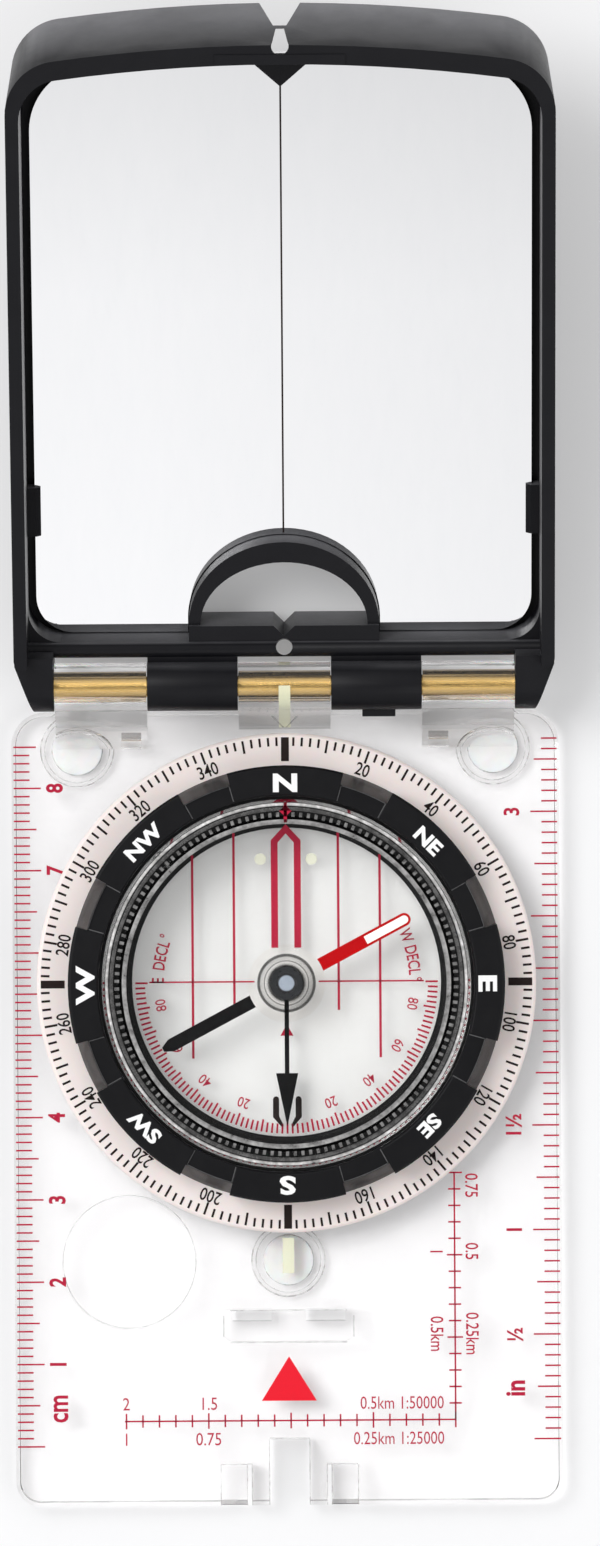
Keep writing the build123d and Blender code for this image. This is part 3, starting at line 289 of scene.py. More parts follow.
class Print:
    """Thin raised layer, built up from bars, outlines and figures on one flat or tilted face: printed ink,
    and also marks of painted light and shade.
    """

    def __init__(self, level=0.0):
        self.mesh = bmesh.new()
        self.level = level + DECAL_LIFT

    def outline(self, points, place=Matrix.Identity(4)):
        """One closed outline of (x, y) points, thickened upward."""
        low = [self.mesh.verts.new(place @ Vector((x, y, self.level))) for x, y in points]
        high = [self.mesh.verts.new(place @ Vector((x, y, self.level + DECAL_THICKNESS))) for x, y in points]
        self.mesh.faces.new(high)
        count = len(points)
        for index in range(count):
            after = (index + 1) % count
            self.mesh.faces.new((low[index], low[after], high[after], high[index]))

    def bar(self, centre, length, width, angle=0.0):
        """A bar whose length lies along angle, in degrees from +X."""
        along = Vector((math.cos(math.radians(angle)), math.sin(math.radians(angle)))) * length / 2
        across = Vector((-along.y, along.x)).normalized() * width / 2
        middle = Vector(centre)
        near, far = middle - along, middle + along
        self.outline([tuple(corner) for corner in (near - across, far - across, far + across, near + across)])

    def ray(self, heading, inner, outer, width):
        """A bar along a radius; heading is in degrees clockwise from +Y."""
        self.bar(on_circle(heading, (inner + outer) / 2), outer - inner, width, 90 - heading)

    def arc(self, radius, width, start, end, steps):
        """A band along a circle between two headings."""
        headings = [start + (end - start) * index / steps for index in range(steps + 1)]
        for first, second in zip(headings, headings[1:]):
            self.outline(
                [
                    on_circle(first, radius - width / 2),
                    on_circle(first, radius + width / 2),
                    on_circle(second, radius + width / 2),
                    on_circle(second, radius - width / 2),
                ][::-1]
            )

    def text_on_circle(self, words, heading, radius, height, squeeze=1.0):
        """Letters set one by one along a circle, reading clockwise with their tops outward."""
        step = math.degrees(height * 0.84 * squeeze / radius)
        start = heading - step * (len(words) - 1) / 2
        for index, letter in enumerate(words):
            if letter != " ":
                turn = start + index * step
                self.text(letter, on_circle(turn, radius), height, -turn, weight=0.02, squeeze=squeeze)

    def text(self, words, centre, height, angle=0.0, weight=0.0, squeeze=1.0):
        """Plain figures or letters of that height, centred on a point and turned by angle."""
        curve = bpy.data.curves.new("figures", "FONT")
        curve.body = words
        curve.size = height / CAP_SHARE
        curve.offset = weight * height
        curve.align_x = "CENTER"
        curve.extrude = DECAL_THICKNESS / 2
        curve.resolution_u = 3
        holder = bpy.data.objects.new("figures", curve)
        bpy.context.scene.collection.objects.link(holder)
        bpy.context.view_layer.update()
        shape = bpy.data.meshes.new_from_object(holder.evaluated_get(bpy.context.evaluated_depsgraph_get()))
        turn = Matrix.Rotation(math.radians(angle), 4, "Z")
        spot = Matrix.Translation((centre[0], centre[1], self.level + DECAL_THICKNESS / 2))
        drop = Matrix.Translation((0, -height / 2, 0))
        shape.transform(spot @ turn @ Matrix.Diagonal((squeeze, 1, 1, 1)) @ drop)
        self.mesh.from_mesh(shape)
        bpy.data.objects.remove(holder)
        bpy.data.curves.remove(curve)
        bpy.data.meshes.remove(shape)

    def finish(self, name, material, body, place=None):
        """Make the piece, and let it ride on its body."""
        data = bpy.data.meshes.new(name)
        if place:
            self.mesh.transform(place)
        self.mesh.to_mesh(data)
        self.mesh.free()
        data.materials.append(material)
        piece = bpy.data.objects.new(name, data)
        bpy.context.scene.collection.objects.link(piece)
        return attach(piece, body)


CAP_SHARE = 0.729


def on_circle(heading, radius):
    """A point on a circle about the needle's axis, heading clockwise from +Y in degrees."""
    angle = math.radians(heading)
    return radius * math.sin(angle), radius * math.cos(angle)


half_width = plate_high.x
TICK_WIDTH = 0.2 * MM
TICK_INSET = 0.25 * MM
CM_ZERO = -56.2 * MM
CM_COUNT = 85
CM_FIGURE_X = -half_width + 5.15 * MM
centimetre_ruler = Print(plate_top)
for millimetre in range(CM_COUNT + 1):
    length = 3.3 if millimetre % 10 == 0 else 2.75 if millimetre % 5 == 0 else 1.95
    middle = -half_width + TICK_INSET + length * MM / 2
    centimetre_ruler.bar((middle, CM_ZERO + millimetre * MM), length * MM, TICK_WIDTH)
for centimetre in (1, 2, 3, 4, 7, 8):
    figure_place = (CM_FIGURE_X, CM_ZERO + centimetre * 10 * MM)
    centimetre_ruler.text(str(centimetre), figure_place, 2.0 * MM, 90, weight=0.04, squeeze=0.85)
unit_place = (CM_FIGURE_X - 0.15 * MM, CM_ZERO + 4.6 * MM)
centimetre_ruler.text("cm", unit_place, 2.6 * MM, 90, weight=0.03, squeeze=0.8)
centimetre_ruler.finish("ruler_centimetres", crimson_ink, "base")

INCH = 25.4 * MM
INCH_ZERO = -55.6 * MM
INCH_PARTS = 20
INCH_COUNT = 67
INCH_FIGURE_X = half_width - 5.85 * MM
inch_ruler = Print(plate_top)
for part in range(INCH_COUNT + 1):
    length = 3.25 if part % 10 == 0 else 2.8 if part % 5 == 0 else 1.9
    middle = half_width - TICK_INSET - length * MM / 2
    inch_ruler.bar((middle, INCH_ZERO + part * INCH / INCH_PARTS), length * MM, TICK_WIDTH)
for label, inches in (("½", 0.5), ("1", 1.0), ("1½", 1.5), ("3", 3.0)):
    figure_place = (INCH_FIGURE_X, INCH_ZERO + inches * INCH)
    inch_ruler.text(label, figure_place, 1.9 * MM, 90, weight=0.03, squeeze=0.9)
unit_place = (INCH_FIGURE_X - 0.05 * MM, INCH_ZERO + 6.15 * MM)
inch_ruler.text("in", unit_place, 2.4 * MM, 90, weight=0.045, squeeze=0.85)
inch_ruler.finish("ruler_inches", crimson_ink, "base")

SCALE_Y = -53.2 * MM
SCALE_X = 20.2 * MM
SCALE_LEFT = -20.0 * MM
SCALE_FRONT = -23.2 * MM
SCALE_STEP = 2.0 * MM
LABEL_HEIGHT = 1.6 * MM
LABEL_GAP = 2.15 * MM
map_scales = Print(plate_top)
map_scales.bar(((SCALE_LEFT + SCALE_X) / 2, SCALE_Y), SCALE_X - SCALE_LEFT, TICK_WIDTH)
map_scales.bar((SCALE_X, (SCALE_Y + SCALE_FRONT) / 2), SCALE_FRONT - SCALE_Y, TICK_WIDTH, 90)
for index in range(21):
    long_tick = 1.9 if index % 5 == 0 else 1.5
    map_scales.bar((SCALE_X - index * SCALE_STEP, SCALE_Y), long_tick * MM, TICK_WIDTH, 90)
for index in range(1, 16):
    long_tick = 1.9 if index % 5 == 0 else 1.5
    map_scales.bar((SCALE_X, SCALE_Y + index * SCALE_STEP), long_tick * MM, TICK_WIDTH)
for above, below, steps in (("2", "1", 20), ("1.5", "0.75", 15)):
    map_scales.text(above, (SCALE_X - steps * SCALE_STEP, SCALE_Y + LABEL_GAP), LABEL_HEIGHT, squeeze=0.85)
    map_scales.text(below, (SCALE_X - steps * SCALE_STEP, SCALE_Y - LABEL_GAP), LABEL_HEIGHT, squeeze=0.85)
map_scales.text("0.5km 1:50000", (SCALE_X - 6.5 * MM, SCALE_Y + LABEL_GAP), LABEL_HEIGHT, squeeze=0.78)
map_scales.text("0.25km 1:25000", (SCALE_X - 6.9 * MM, SCALE_Y - LABEL_GAP), LABEL_HEIGHT, squeeze=0.78)
for inner, outer, steps in (("0.5km", "0.25km", 5), ("1", "0.5", 10), ("", "0.75", 14)):
    along = SCALE_Y + steps * SCALE_STEP + 0.4 * MM
    map_scales.text(outer, (SCALE_X + LABEL_GAP, along), LABEL_HEIGHT, -90, weight=0.01, squeeze=0.8)
    if inner:
        map_scales.text(inner, (SCALE_X - LABEL_GAP, along), LABEL_HEIGHT, -90, weight=0.01, squeeze=0.8)
map_scales.finish("map_scales", crimson_ink, "base")


# The course triangle behind the bezel is printed in a brighter red than the scales.
TRIANGLE_TIP = -45.4 * MM
TRIANGLE_BASE = -50.8 * MM
TRIANGLE_HALF = 3.35 * MM
signal_ink, signal_shader, signal_wire = principled("signal_ink", specular_ior_level=0.2)
signal_point = in_millimetres(signal_wire)
signal_patches = noise(signal_point, 1.4, 4, 0.6)
signal_red = blend_colours(signal_patches, (0.86, 0.012, 0.03, 1), (0.78, 0.01, 0.025, 1))
signal_red.feed(signal_shader, "Base Color")
(signal_patches * 0.2 + 0.3).feed(signal_shader, "Roughness")
bump(noise(signal_point, 8, 2), 0.15, 0.02 * MM).feed(signal_shader, "Normal")
triangle = Print(plate_top)
triangle.outline([(-TRIANGLE_HALF, TRIANGLE_BASE), (TRIANGLE_HALF, TRIANGLE_BASE), (0, TRIANGLE_TIP)])
triangle.finish("course_triangle", signal_ink, "base")


# Thin grey lines of painted shade draw the outlines of the plate's moulded grooves and
# cut edges: the magnifier, the foot rings, the stowage recess, the lanyard socket
# and the small arrowhead moulded below the front inlay.
# A patchy, partly transparent grey for these painted shade lines.
groove_shade_paint, groove_shade_shader, groove_shade_wire = principled("groove_painted_shade", specular_ior_level=0.1)
groove_shade_point = in_millimetres(groove_shade_wire)
groove_shade_patches = noise(groove_shade_point, 0.7, 4, 0.7)
blend_colours(groove_shade_patches, (0.2, 0.2, 0.2, 1), (0.45, 0.44, 0.43, 1)).feed(groove_shade_shader, "Base Color")
(groove_shade_patches * 1.5 - 0.35).clamp(0.08, 0.75).feed(groove_shade_shader, "Alpha")
(groove_shade_patches * 0.3 + 0.5).feed(groove_shade_shader, "Roughness")
bump(groove_shade_patches, 0.3, 0.02 * MM).feed(groove_shade_shader, "Normal")
LENS_CENTRE = Vector((-19.3, -33.8, 0)) * MM
LENS_GROOVE = 8.07 * MM
lens_shade_lines = Print(plate_top)
lens_shade_lines.arc(LENS_GROOVE, 0.11 * MM, 0, 360, 72)
lens_shade_lines.finish("lens_outline", groove_shade_paint, "base", Matrix.Translation(LENS_CENTRE))
for foot_name in ("foot_left", "foot_right", "foot_rear"):
    foot_low, foot_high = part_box(foot_name)
    foot_shade_lines = Print(0.55 * MM)
    for radius, width in ((3.06, 0.14), (3.95, 0.12), (4.45, 0.16)):
        foot_shade_lines.arc(radius * MM, width * MM, 0, 360, 48)
    foot_middle = Vector(((foot_low.x + foot_high.x) / 2, (foot_low.y + foot_high.y) / 2, 0))
    foot_shade_lines.finish(foot_name + "_outline", groove_shade_paint, "base", Matrix.Translation(foot_middle))
RECESS_HALF = 7.9 * MM
RECESS_FRONT = -39.8 * MM
RECESS_REAR = -43.7 * MM
SOCKET_FRONT = -55.4 * MM
edge_shade_lines = Print(plate_top)
for level in (RECESS_FRONT, RECESS_REAR):
    edge_shade_lines.bar((0, level), 2 * RECESS_HALF - 1.6 * MM, 0.13 * MM)
edge_shade_lines.bar((0, SOCKET_FRONT), 4.9 * MM, 0.13 * MM)
for side in (-1, 1):
    edge_shade_lines.bar((side * RECESS_HALF, (RECESS_FRONT + RECESS_REAR) / 2), 2.6 * MM, 0.13 * MM, 90)
    edge_shade_lines.bar((side * 2.45 * MM, -59.4 * MM), 8.0 * MM, 0.13 * MM, 90)
    for across in (4.55, 5.15, 8.35):
        edge_shade_lines.bar((side * across * MM, -61.0 * MM), 4.9 * MM, 0.13 * MM, 90)
    edge_shade_lines.bar((side * 6.4 * MM, -58.5 * MM), 3.8 * MM, 0.13 * MM)
edge_shade_lines.finish("recess_outlines", groove_shade_paint, "base")
RAMP_FOOT = Vector((0, 30.8, 3.6)) * MM
RAMP_SLOPE = 66.6
arrowhead = Print(0.02 * MM)
for side in (-1, 1):
    arrowhead.bar((side * 0.85 * MM, 2.3 * MM), 3.6 * MM, 0.2 * MM, 90 - side * 22)
ramp_frame = Matrix.Translation(RAMP_FOOT) @ Matrix.Rotation(math.radians(RAMP_SLOPE), 4, "X")
arrowhead.finish("front_arrowhead", groove_shade_paint, "base", ramp_frame)


# The hinge pin is a rolled brass tube, drawn along its length, so fine draw lines and a
# little tarnish run that way. It is pressed through the plate's clear knuckles.
brass, brass_shader, brass_wire = principled("brass", metallic=1.0)
brass_point = in_millimetres(brass_wire)
draw_lines = noise(stretched(brass_point, (0.12, 9.0, 9.0)), 1.5, 5, 0.65)
tarnish = noise(brass_point, 0.35, 4, 0.6)
worn_brass = blend_colours(tarnish, (0.86, 0.6, 0.22, 1), (0.7, 0.45, 0.15, 1))
worn_brass.feed(brass_shader, "Base Color")
(draw_lines * 0.22 + tarnish * 0.12 + 0.08).feed(brass_shader, "Roughness")
bump(draw_lines, 0.35, 0.03 * MM).feed(brass_shader, "Normal")
dress(["hinge_pin"], brass)


# Three soft silicone feet, cast translucent, with the fine matt skin of their mould.
silicone, silicone_shader, silicone_wire = principled(
    "silicone", subsurface_weight=0.35, subsurface_scale=0.002, specular_ior_level=0.3
)
silicone_point = in_millimetres(silicone_wire)
milky = noise(silicone_point, 0.5, 3)
blend_colours(milky, (0.9, 0.9, 0.89, 1), (0.82, 0.83, 0.83, 1)).feed(silicone_shader, "Base Color")
(milky * 0.2 + 0.45).feed(silicone_shader, "Roughness")
bump(noise(silicone_point, 12, 3), 0.25, 0.03 * MM).feed(silicone_shader, "Normal")
dress(["foot_left", "foot_right", "foot_rear"], silicone)


# Luminous inlays: pale greenish-yellow paste pressed in grooves, slightly grainy,
# and the paler paste of the needle's north tip.
def luminous_paste(name, pale, deep, glow_strength, body):
    made, shader, wire = principled(name, emission_strength=glow_strength)
    point = in_millimetres(wire)
    grain = noise(point, 6, 4, 0.7)
    paste = blend_colours(grain, (*pale, 1), (*deep, 1))
    paste.feed(shader, "Base Color")
    paste.feed(shader, "Emission Color")
    (grain * 0.25 + 0.5).feed(shader, "Roughness")
    (grain * 0.2 + body).feed(shader, "Alpha")
    bump(grain, 0.4, 0.04 * MM).feed(shader, "Normal")
    return made


index_paste = luminous_paste("index_paste", (0.93, 0.94, 0.74), (0.86, 0.88, 0.62), 0.05, 0.5)
tip_paste = luminous_paste("tip_paste", (0.97, 0.97, 0.93), (0.9, 0.91, 0.85), 0.08, 0.9)
dress(["index_lume_front", "index_lume_rear"], index_paste)
dress(["needle_lume"], tip_paste)


# The lid is a black glass-filled moulding with a satin, finely spark-eroded skin that
# is rubbed shinier in random patches. Its edges are eased in the mould.
def black_plastic(name, deep, pale, grain_scale, base_roughness, grain_depth):
    made, shader, wire = principled(name, specular_ior_level=0.17)
    point = in_millimetres(wire)
    mottle = noise(point, 0.25, 4, 0.6)
    blend_colours(mottle, (*deep, 1), (*pale, 1)).feed(shader, "Base Color")
    grain = noise(point, grain_scale, 3, 0.6)
    rubbed = noise(point, 0.6, 5, 0.7)
    (grain * 0.12 + rubbed * 0.14 + base_roughness).feed(shader, "Roughness")
    bump(grain, 0.5, grain_depth).feed(shader, "Normal")
    return made


def ease_edges(name, width, limit=30, segments=3):
    """Join the split corners of a carried-over piece and round its sharp edges."""
    piece = nodes[name]
    weld = piece.modifiers.new("weld", "WELD")
    weld.merge_threshold = 0.001 * MM
    edge = piece.modifiers.new("eased_edges", "BEVEL")
    edge.width = width
    edge.segments = segments
    edge.limit_method = "ANGLE"
    edge.angle_limit = math.radians(limit)
    edge.use_clamp_overlap = True
    edge.harden_normals = True


lid_black = black_plastic("lid_black", (0.0045, 0.0045, 0.006), (0.009, 0.009, 0.011), 7, 0.26, 0.03 * MM)
dress(["lid_shell", "mirror_clip_left", "mirror_clip_right"], lid_black)
# The far end face is painted paler grey towards the back, away from the rim: a painted sheen.
lid_shader = lid_black.node_tree.nodes["Principled BSDF"]
lid_wire = Wire(lid_black.node_tree, lid_shader.inputs["Base Color"].links[0].from_socket)
lid_point = in_millimetres(lid_wire)
lid_facing = lid_wire.node("ShaderNodeTexCoord", output=1)
far_facing = lid_wire.node("ShaderNodeSeparateXYZ", inputs={"Vector": lid_facing}, output=1)
below_rim = lid_wire.node(
    "ShaderNodeVectorMath", {"operation": "DOT_PRODUCT"}, {0: lid_point, 1: (0.0, 0.259, -0.966)}, output=1
)
# Painted sheen mask: far-facing faces, rising with distance from the rim, broken by noise.
end_face_painted_sheen = ((below_rim + 2.5) * 0.085).clamp(0, 1) * ((far_facing - 0.6) * 5.0).clamp(0, 1)
end_face_painted_sheen = end_face_painted_sheen * (noise(lid_point, 0.12, 3, 0.6) + 0.45)
blend_colours(end_face_painted_sheen, lid_wire, (0.14, 0.14, 0.15, 1)).feed(lid_shader, "Base Color")


# The mirror is silvered acrylic held on a black foam tape, clean but for faint wipe
# marks. A fine black sighting line is printed down its middle.
HINGE = Vector((0, 36 * MM, 8.8 * MM))
LID_TILT = 15
lid_frame = Matrix.Translation(HINGE) @ Matrix.Rotation(math.radians(LID_TILT), 4, "X")
MIRROR_LEVEL = -6.0 * MM
silvering, silver_shader, silver_wire = principled("silvering", metallic=1.0)
silver_point = in_millimetres(silver_wire)
wiped = noise(stretched(silver_point, (1.0, 0.15, 1.0)), 0.5, 5, 0.65)
blend_colours(wiped, (0.97, 0.97, 0.975, 1), (0.93, 0.935, 0.945, 1)).feed(silver_shader, "Base Color")
((wiped.clamp(0.55, 0.75) - 0.55) * 0.25 + 0.015).feed(silver_shader, "Roughness")
bump(noise(silver_point, 0.05, 1), 0.03, 0.05 * MM).feed(silver_shader, "Normal")
dress(["mirror"], silvering)

foam, foam_shader, foam_wire = principled("foam", specular_ior_level=0.2)
foam_point = in_millimetres(foam_wire)
cells = noise(foam_point, 5, 4, 0.75)
blend_colours(cells, (0.02, 0.02, 0.02, 1), (0.05, 0.05, 0.05, 1)).feed(foam_shader, "Base Color")
(cells * 0.2 + 0.7).feed(foam_shader, "Roughness")
bump(cells, 0.8, 0.08 * MM).feed(foam_shader, "Normal")
dress(["mirror_pad"], foam)

black_ink, black_ink_shader, black_ink_wire = principled("black_ink", specular_ior_level=0.15)
black_ink_point = in_millimetres(black_ink_wire)
black_patches = noise(black_ink_point, 2, 3)
warm_black = blend_colours(black_patches, (0.012, 0.007, 0.006, 1), (0.022, 0.013, 0.012, 1))
warm_black.feed(black_ink_shader, "Base Color")
(black_patches * 0.2 + 0.35).feed(black_ink_shader, "Roughness")
bump(noise(black_ink_point, 9, 2), 0.15, 0.02 * MM).feed(black_ink_shader, "Normal")
LINE_NEAR = 17.6 * MM
LINE_FAR = 72.5 * MM
sight_line = Print(MIRROR_LEVEL)
sight_line.bar((0, (LINE_NEAR + LINE_FAR) / 2), LINE_FAR - LINE_NEAR, 0.22 * MM, 90)
sight_line.finish("sighting_line", black_ink, "lid", lid_frame)


# The degree ring is moulded in a pinkish beige plastic, with fine marks every two
# degrees, longer ones every ten, bold bars at the quarters and figures every twenty.
ring_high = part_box("azimuth_ring")[1]
ring_radius = ring_high.x
ring_top = ring_high.z
beige, beige_shader, beige_wire = principled("beige", subsurface_weight=0.15, subsurface_scale=0.001)
beige_point = in_millimetres(beige_wire)
swirl = noise(beige_point, 0.12, 4, 0.6)
blend_colours(swirl, (0.95, 0.86, 0.83, 1), (0.89, 0.79, 0.76, 1)).feed(beige_shader, "Base Color")
satin = noise(beige_point, 8, 3)
(satin * 0.12 + 0.32).feed(beige_shader, "Roughness")
bump(satin, 0.3, 0.02 * MM).feed(beige_shader, "Normal")
dress(["azimuth_ring"], beige)

TICK_OUTER = ring_radius - 0.5 * MM
FIGURE_RADIUS = 27.5 * MM
degree_marks = Print(ring_top)
for degree in range(0, 360, 2):
    if degree % 90 == 0:
        degree_marks.ray(degree, TICK_OUTER - 2.9 * MM, TICK_OUTER, 0.95 * MM)
    else:
        reach = 1.55 if degree % 10 == 0 else 1.05
        degree_marks.ray(degree, TICK_OUTER - reach * MM, TICK_OUTER, 0.27 * MM)
for degree in range(20, 360, 20):
    if degree != 180:
        place = on_circle(degree, FIGURE_RADIUS)
        degree_marks.text(str(degree), place, 1.6 * MM, -degree, weight=0.015, squeeze=0.8)
degree_marks.finish("degree_marks", black_ink, "bezel")


# The grip and the retaining ring are black, the grip a little finer grained, with the
# eight directions printed in bold white.
grip_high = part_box("bezel_grip")[1]
grip_black = black_plastic("grip_black", (0.004, 0.004, 0.005), (0.008, 0.008, 0.009), 9, 0.24, 0.02 * MM)
dress(["bezel_grip", "retaining_ring"], grip_black)
white_ink, white_ink_shader, white_ink_wire = principled("white_ink", specular_ior_level=0.35)
white_point = in_millimetres(white_ink_wire)
white_patches = noise(white_point, 2, 3)
soft_white = blend_colours(white_patches, (0.93, 0.93, 0.92, 1), (0.84, 0.84, 0.84, 1))
soft_white.feed(white_ink_shader, "Base Color")
(white_patches * 0.2 + 0.4).feed(white_ink_shader, "Roughness")
bump(noise(white_point, 9, 2), 0.15, 0.02 * MM).feed(white_ink_shader, "Normal")
LETTER_RADIUS = 24.35 * MM
letters = Print(grip_high.z)
for index, direction in enumerate(("N", "NE", "E", "SE", "S", "SW", "W", "NW")):
    height, stretch = (2.15, 1.4) if len(direction) == 1 else (1.75, 1.2)
    place = on_circle(index * 45, LETTER_RADIUS)
    letters.text(direction, place, height * MM, -index * 45, weight=0.055, squeeze=stretch)
letters.finish("direction_letters", white_ink, "bezel")
# Each thumb notch has a painted highlight, a paler line, along the edge where its shelf and its slope begin.
notch_highlight_paint, notch_paint_shader, notch_paint_wire = principled("notch_highlight_paint", specular_ior_level=0.3)
notch_paint_point = in_millimetres(notch_paint_wire)
notch_paint_patches = noise(notch_paint_point, 0.9, 4, 0.7)
blend_colours(notch_paint_patches, (0.02, 0.02, 0.02, 1), (0.2, 0.2, 0.205, 1)).feed(notch_paint_shader, "Base Color")
(notch_paint_patches * 0.2 + 0.3).feed(notch_paint_shader, "Roughness")
bump(noise(notch_paint_point, 9, 2), 0.15, 0.02 * MM).feed(notch_paint_shader, "Normal")
NOTCH_SHELF = 0.4 * MM
NOTCH_HALF_ANGLE = 6.7
NOTCH_INNER = 22.9 * MM
NOTCH_OUTER = 24.85 * MM
notch_highlight_lines = Print(grip_high.z - NOTCH_SHELF)
for index in range(8):
    middle = 22.5 + index * 45
    notch_highlight_lines.arc(NOTCH_OUTER, 0.12 * MM, middle - NOTCH_HALF_ANGLE, middle + NOTCH_HALF_ANGLE, 8)
    for side in (-1, 1):
        notch_highlight_lines.ray(middle + side * NOTCH_HALF_ANGLE, NOTCH_INNER, NOTCH_OUTER, 0.12 * MM)
notch_highlight_lines.finish("notch_painted_highlights", notch_highlight_paint, "bezel")


# The capsule is clear acrylic. Its dial is the dish's floor, printed in red with the
# meridian lines, the orienting arrow and the declination scale.
capsule_acrylic = clear_plastic(
    "capsule_acrylic", (0.985, 0.985, 0.98), (0.97, 0.97, 0.965), (0.55, 0.55, 0.55), 0.01, 99
)
dress(["capsule_dish", "capsule_dome", "fill_plug"], capsule_acrylic)
DIAL_FLOOR = 1.2 * MM
dial_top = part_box("capsule_dish")[0].z + DIAL_FLOOR
dial_print = Print(dial_top)
for side in (-1, 1):
    for x, low, high in ((11.4, -9.2, 15.5), (6.35, -3.4, 18.2)):
        dial_print.bar((side * x * MM, (low + high) / 2 * MM), (high - low) * MM, 0.3 * MM, 90)
    dial_print.bar((side * 10.3 * MM, 0.1 * MM), 12.8 * MM, 0.2 * MM)
arrow_outer = [(1.82, 4.2), (1.82, 17.3), (0.0, 19.25)]
arrow_inner = [(0.0, 18.1), (0.98, 17.0), (0.98, 4.2)]
for side in (-1, 1):
    half_arrow = [(side * x * MM, y * MM) for x, y in arrow_outer + arrow_inner]
    dial_print.outline(half_arrow[::side])
dial_print.outline([(-0.8 * MM, -6.5 * MM), (0.8 * MM, -6.5 * MM), (0, -5.1 * MM)])
dial_print.finish("dial_lines", crimson_ink, "capsule")

LABEL_RADIUS = 15.7 * MM
scale_print = Print(dial_top)
for degree in range(90, 271, 2):
    inner = 16.9 if degree % 10 == 0 else 17.2
    scale_print.ray(degree, inner * MM, 18.4 * MM, 0.24 * MM)
for degree in (20, 40, 60, 80):
    for heading in (180 + degree, 180 - degree):
        place = on_circle(heading, LABEL_RADIUS - 0.1 * MM)
        scale_print.text(str(degree), place, 1.3 * MM, -heading, weight=0.01, squeeze=0.85)
scale_print.text_on_circle("E DECL°", 281, LABEL_RADIUS, 1.5 * MM, 0.72)
scale_print.text_on_circle("W DECL°", 79, LABEL_RADIUS, 1.5 * MM, 0.72)
scale_print.finish("declination_scale", crimson_ink, "capsule")

index_print = Print(dial_top)
foot_outline = [(1.0, -14.2), (1.1, -13.95), (1.35, -13.85), (1.62, -13.95), (1.75, -14.2)]
foot_outline += [(1.75, -16.4), (0.7, -17.6), (0.45, -17.4), (1.0, -16.3)]
for side in (-1, 1):
    index_print.outline([(side * x * MM, y * MM) for x, y in foot_outline][:: -side])
index_print.finish("dial_index_bars", black_ink, "capsule")

# The dome's face carries painted light: a near-white painted highlight on its outer edge,
# and painted grey and dark rings and dotted marks that stand in for the shaded wall and the
# lit gear teeth seen through it. A red index line crosses them.
def from_needle_axis(point):
    """Distance from the needle's axis."""
    flat = stretched(point, (1.0, 1.0, 0.0))
    return point.node("ShaderNodeVectorMath", {"operation": "LENGTH"}, {0: flat}, output=1)


def turned_tones(point, stops, outermost):
    """Greys that change with the distance from the axis, as (millimetres, level) pairs."""
    greys = [(radius / outermost, (level, level * 0.985, level * 0.97)) for radius, level in stops]
    share = from_needle_axis(point) * (1 / outermost)
    return point.node("ShaderNodeValToRGB", {"stops": greys}, {"Fac": share})


GEAR_TEETH = 138
dome_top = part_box("capsule_dome")[1].z
rim_painted_light, rim_shader, rim_wire = principled("rim_painted_light", specular_ior_level=0.3)
rim_point = in_millimetres(rim_wire)
rim_light_grain = noise(rim_point, 0.8, 4, 0.7)
# Grey levels by radius: painted shade rings inside, the painted highlight at the rim.
rim_stops = [(19.3, 0.35), (19.8, 0.5), (20.05, 0.25), (20.2, 0.3), (20.8, 0.22), (20.9, 0.1), (21.4, 0.16)]
rim_stops += [(21.5, 0.5), (21.7, 0.95), (21.95, 0.6)]
rim_tone = turned_tones(rim_point, rim_stops, 25.0)
rim_light = rim_light_grain * 1.2 + 0.25
rim_colour = rim_tone.node("ShaderNodeVectorMath", {"operation": "SCALE"}, {0: rim_tone, "Scale": rim_light})
rim_colour.feed(rim_shader, "Base Color")
(rim_light_grain * 1.3 + 0.05).clamp(0.3, 0.95).feed(rim_shader, "Alpha")
(rim_light_grain * 0.3 + 0.3).feed(rim_shader, "Roughness")
bump(noise(rim_point, 9, 2), 0.3, 0.02 * MM).feed(rim_shader, "Normal")
rim_light_layer = Print(dome_top)
for tooth in range(GEAR_TEETH):
    rim_light_layer.ray(tooth * 360 / GEAR_TEETH, 20.2 * MM, 20.75 * MM, 0.38 * MM)
for radius, width in ((19.6, 0.55), (21.15, 0.45), (21.7, 0.36)):
    rim_light_layer.arc(radius * MM, width * MM, 0, 360, 180)
rim_light_layer.finish("dome_rim_painted_light", rim_painted_light, "capsule")
meridian = Print(dome_top)
meridian.bar((0, 20.7 * MM), 2.4 * MM, 0.4 * MM, 90)
meridian.outline([(-0.75 * MM, 20.9 * MM), (0, 20.2 * MM), (0.75 * MM, 20.9 * MM), (0, 21.6 * MM)])
meridian.finish("dome_index_line", crimson_ink, "capsule")

DOT_RADIUS = 0.7 * MM
dial_dots = Print(dial_top)
for side in (-1, 1):
    turns = [2 * math.pi * step / 24 for step in range(24)]
    dial_dots.outline(
        [
            (side * 3.1 * MM + DOT_RADIUS * math.cos(turn), 15.0 * MM + DOT_RADIUS * math.sin(turn))
            for turn in turns
        ]
    )
dial_dots.finish("dial_luminous_dots", index_paste, "capsule")


# Inside the capsule: the painted needle blades and clinometer arrow, the clear turned
# hub with rings of painted highlight and painted shade in its colour, the darkened steel
# pivot and magnet, and the blue-grey sapphire cup. The declination pinion is blackened like the south blade.
def blade_paint(name, fresh, worn):
    made, shader, wire = principled(name, specular_ior_level=0.06)
    point = in_millimetres(wire)
    wear = noise(point, 1.8, 4, 0.65)
    blend_colours(wear, (*fresh, 1), (*worn, 1)).feed(shader, "Base Color")
    (wear * 0.2 + 0.25).feed(shader, "Roughness")
    bump(noise(point, 7, 3), 0.2, 0.02 * MM).feed(shader, "Normal")
    return made


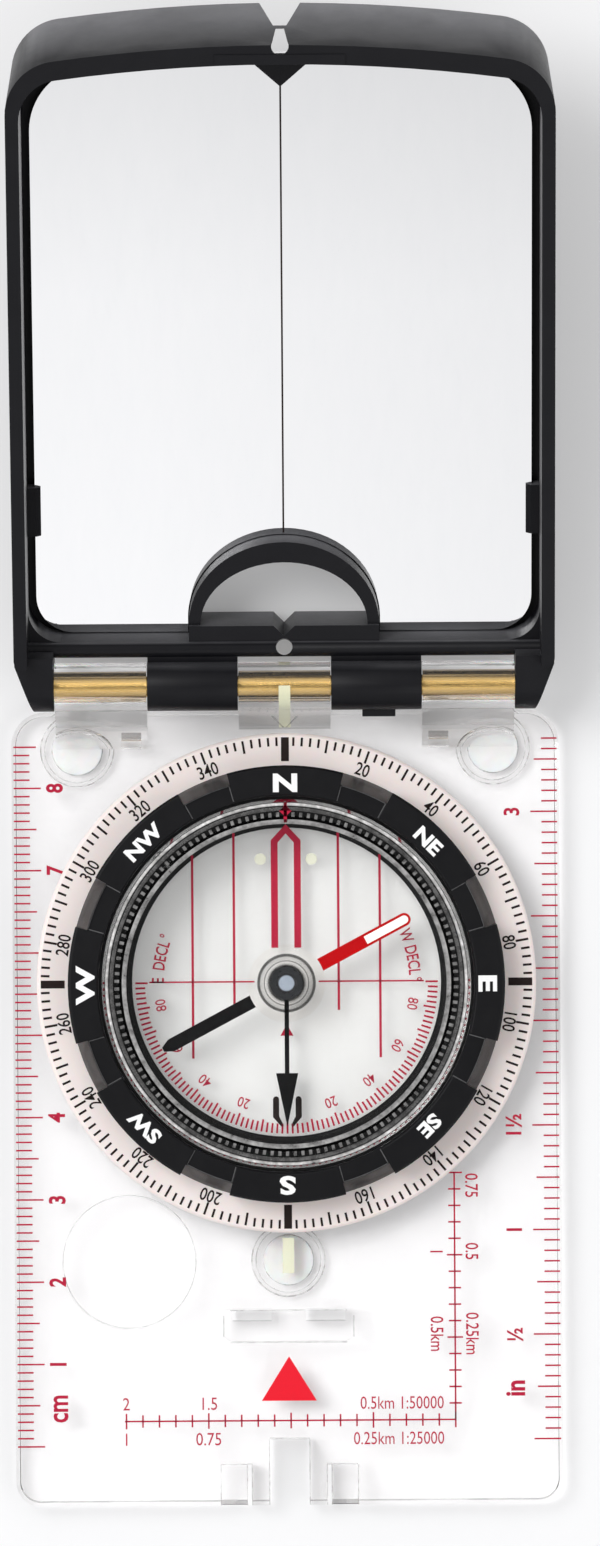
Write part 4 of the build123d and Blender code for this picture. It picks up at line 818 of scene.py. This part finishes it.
dress(["needle_north"], blade_paint("needle_red", (0.5, 0.0, 0.002), (0.42, 0.0, 0.002)))
needle_black = blade_paint("needle_black", (0.004, 0.004, 0.0045), (0.009, 0.009, 0.0095))
dress(["needle_south", "clinometer_arrow", "declination_screw"], needle_black)
hub_acrylic, hub_shader, hub_wire = principled(
    "hub_acrylic", ior=1.08, transmission_weight=1.0, specular_ior_level=0.3
)
hub_point = in_millimetres(hub_wire)
# Painted highlight and painted shade: bright and dark rings by radius in the hub's colour.
hub_stops = [(2.0, 0.05), (2.15, 0.1), (2.3, 0.6), (2.55, 0.92), (2.7, 0.3), (2.8, 0.8)]
hub_stops += [(3.15, 0.7), (3.3, 0.12), (3.5, 0.2), (3.6, 0.98), (4.7, 0.98)]
hub_painted_rings = turned_tones(hub_point, hub_stops, 5.0)
hub_painted_rings.feed(hub_shader, "Base Color")
(noise(hub_point, 2, 3) * 0.05 + 0.03).feed(hub_shader, "Roughness")
bump(noise(hub_point, 1.2, 2), 0.1, 0.03 * MM).feed(hub_shader, "Normal")
hub_lamp_ray = hub_wire.node("ShaderNodeLightPath", output=1)
hub_through = hub_wire.node("ShaderNodeBsdfTransparent", inputs={"Color": (0.8, 0.79, 0.78, 1)})
hub_face = Wire(hub_acrylic.node_tree, hub_shader.outputs[0])
hub_both = hub_wire.node("ShaderNodeMixShader", inputs={0: hub_lamp_ray, 1: hub_face, 2: hub_through})
hub_both.feed(hub_acrylic.node_tree.nodes["Material Output"], "Surface")
dress(["needle_hub"], hub_acrylic)
steel, steel_shader, steel_wire = principled("steel", metallic=1.0)
steel_point = in_millimetres(steel_wire)
turned = noise(stretched(steel_point, (1.0, 1.0, 9.0)), 3, 4, 0.6)
blend_colours(turned, (0.09, 0.095, 0.1, 1), (0.05, 0.052, 0.056, 1)).feed(steel_shader, "Base Color")
(turned * 0.25 + 0.18).feed(steel_shader, "Roughness")
bump(turned, 0.3, 0.02 * MM).feed(steel_shader, "Normal")
dress(["pivot_pin", "needle_magnet"], steel)
sapphire, sapphire_shader, sapphire_wire = principled("sapphire", ior=1.76, specular_ior_level=0.8)
sapphire_point = in_millimetres(sapphire_wire)
flaws = noise(sapphire_point, 1.6, 4, 0.6)
cup = blend_colours(flaws, (0.42, 0.47, 0.55, 1), (0.3, 0.35, 0.42, 1))
setting = ((from_needle_axis(sapphire_point) - 0.85) * 6.0).clamp(0, 1)
blend_colours(setting, cup, (0.02, 0.02, 0.022, 1)).feed(sapphire_shader, "Base Color")
(flaws * 0.1 + 0.06).feed(sapphire_shader, "Roughness")
bump(flaws, 0.1, 0.02 * MM).feed(sapphire_shader, "Normal")
dress(["jewel_bearing"], sapphire)

for name, width in (("lid_shell", 0.3 * MM), ("bezel_grip", 0.12 * MM), ("azimuth_ring", 0.1 * MM)):
    ease_edges(name, width)

bpy.context.view_layer.update()
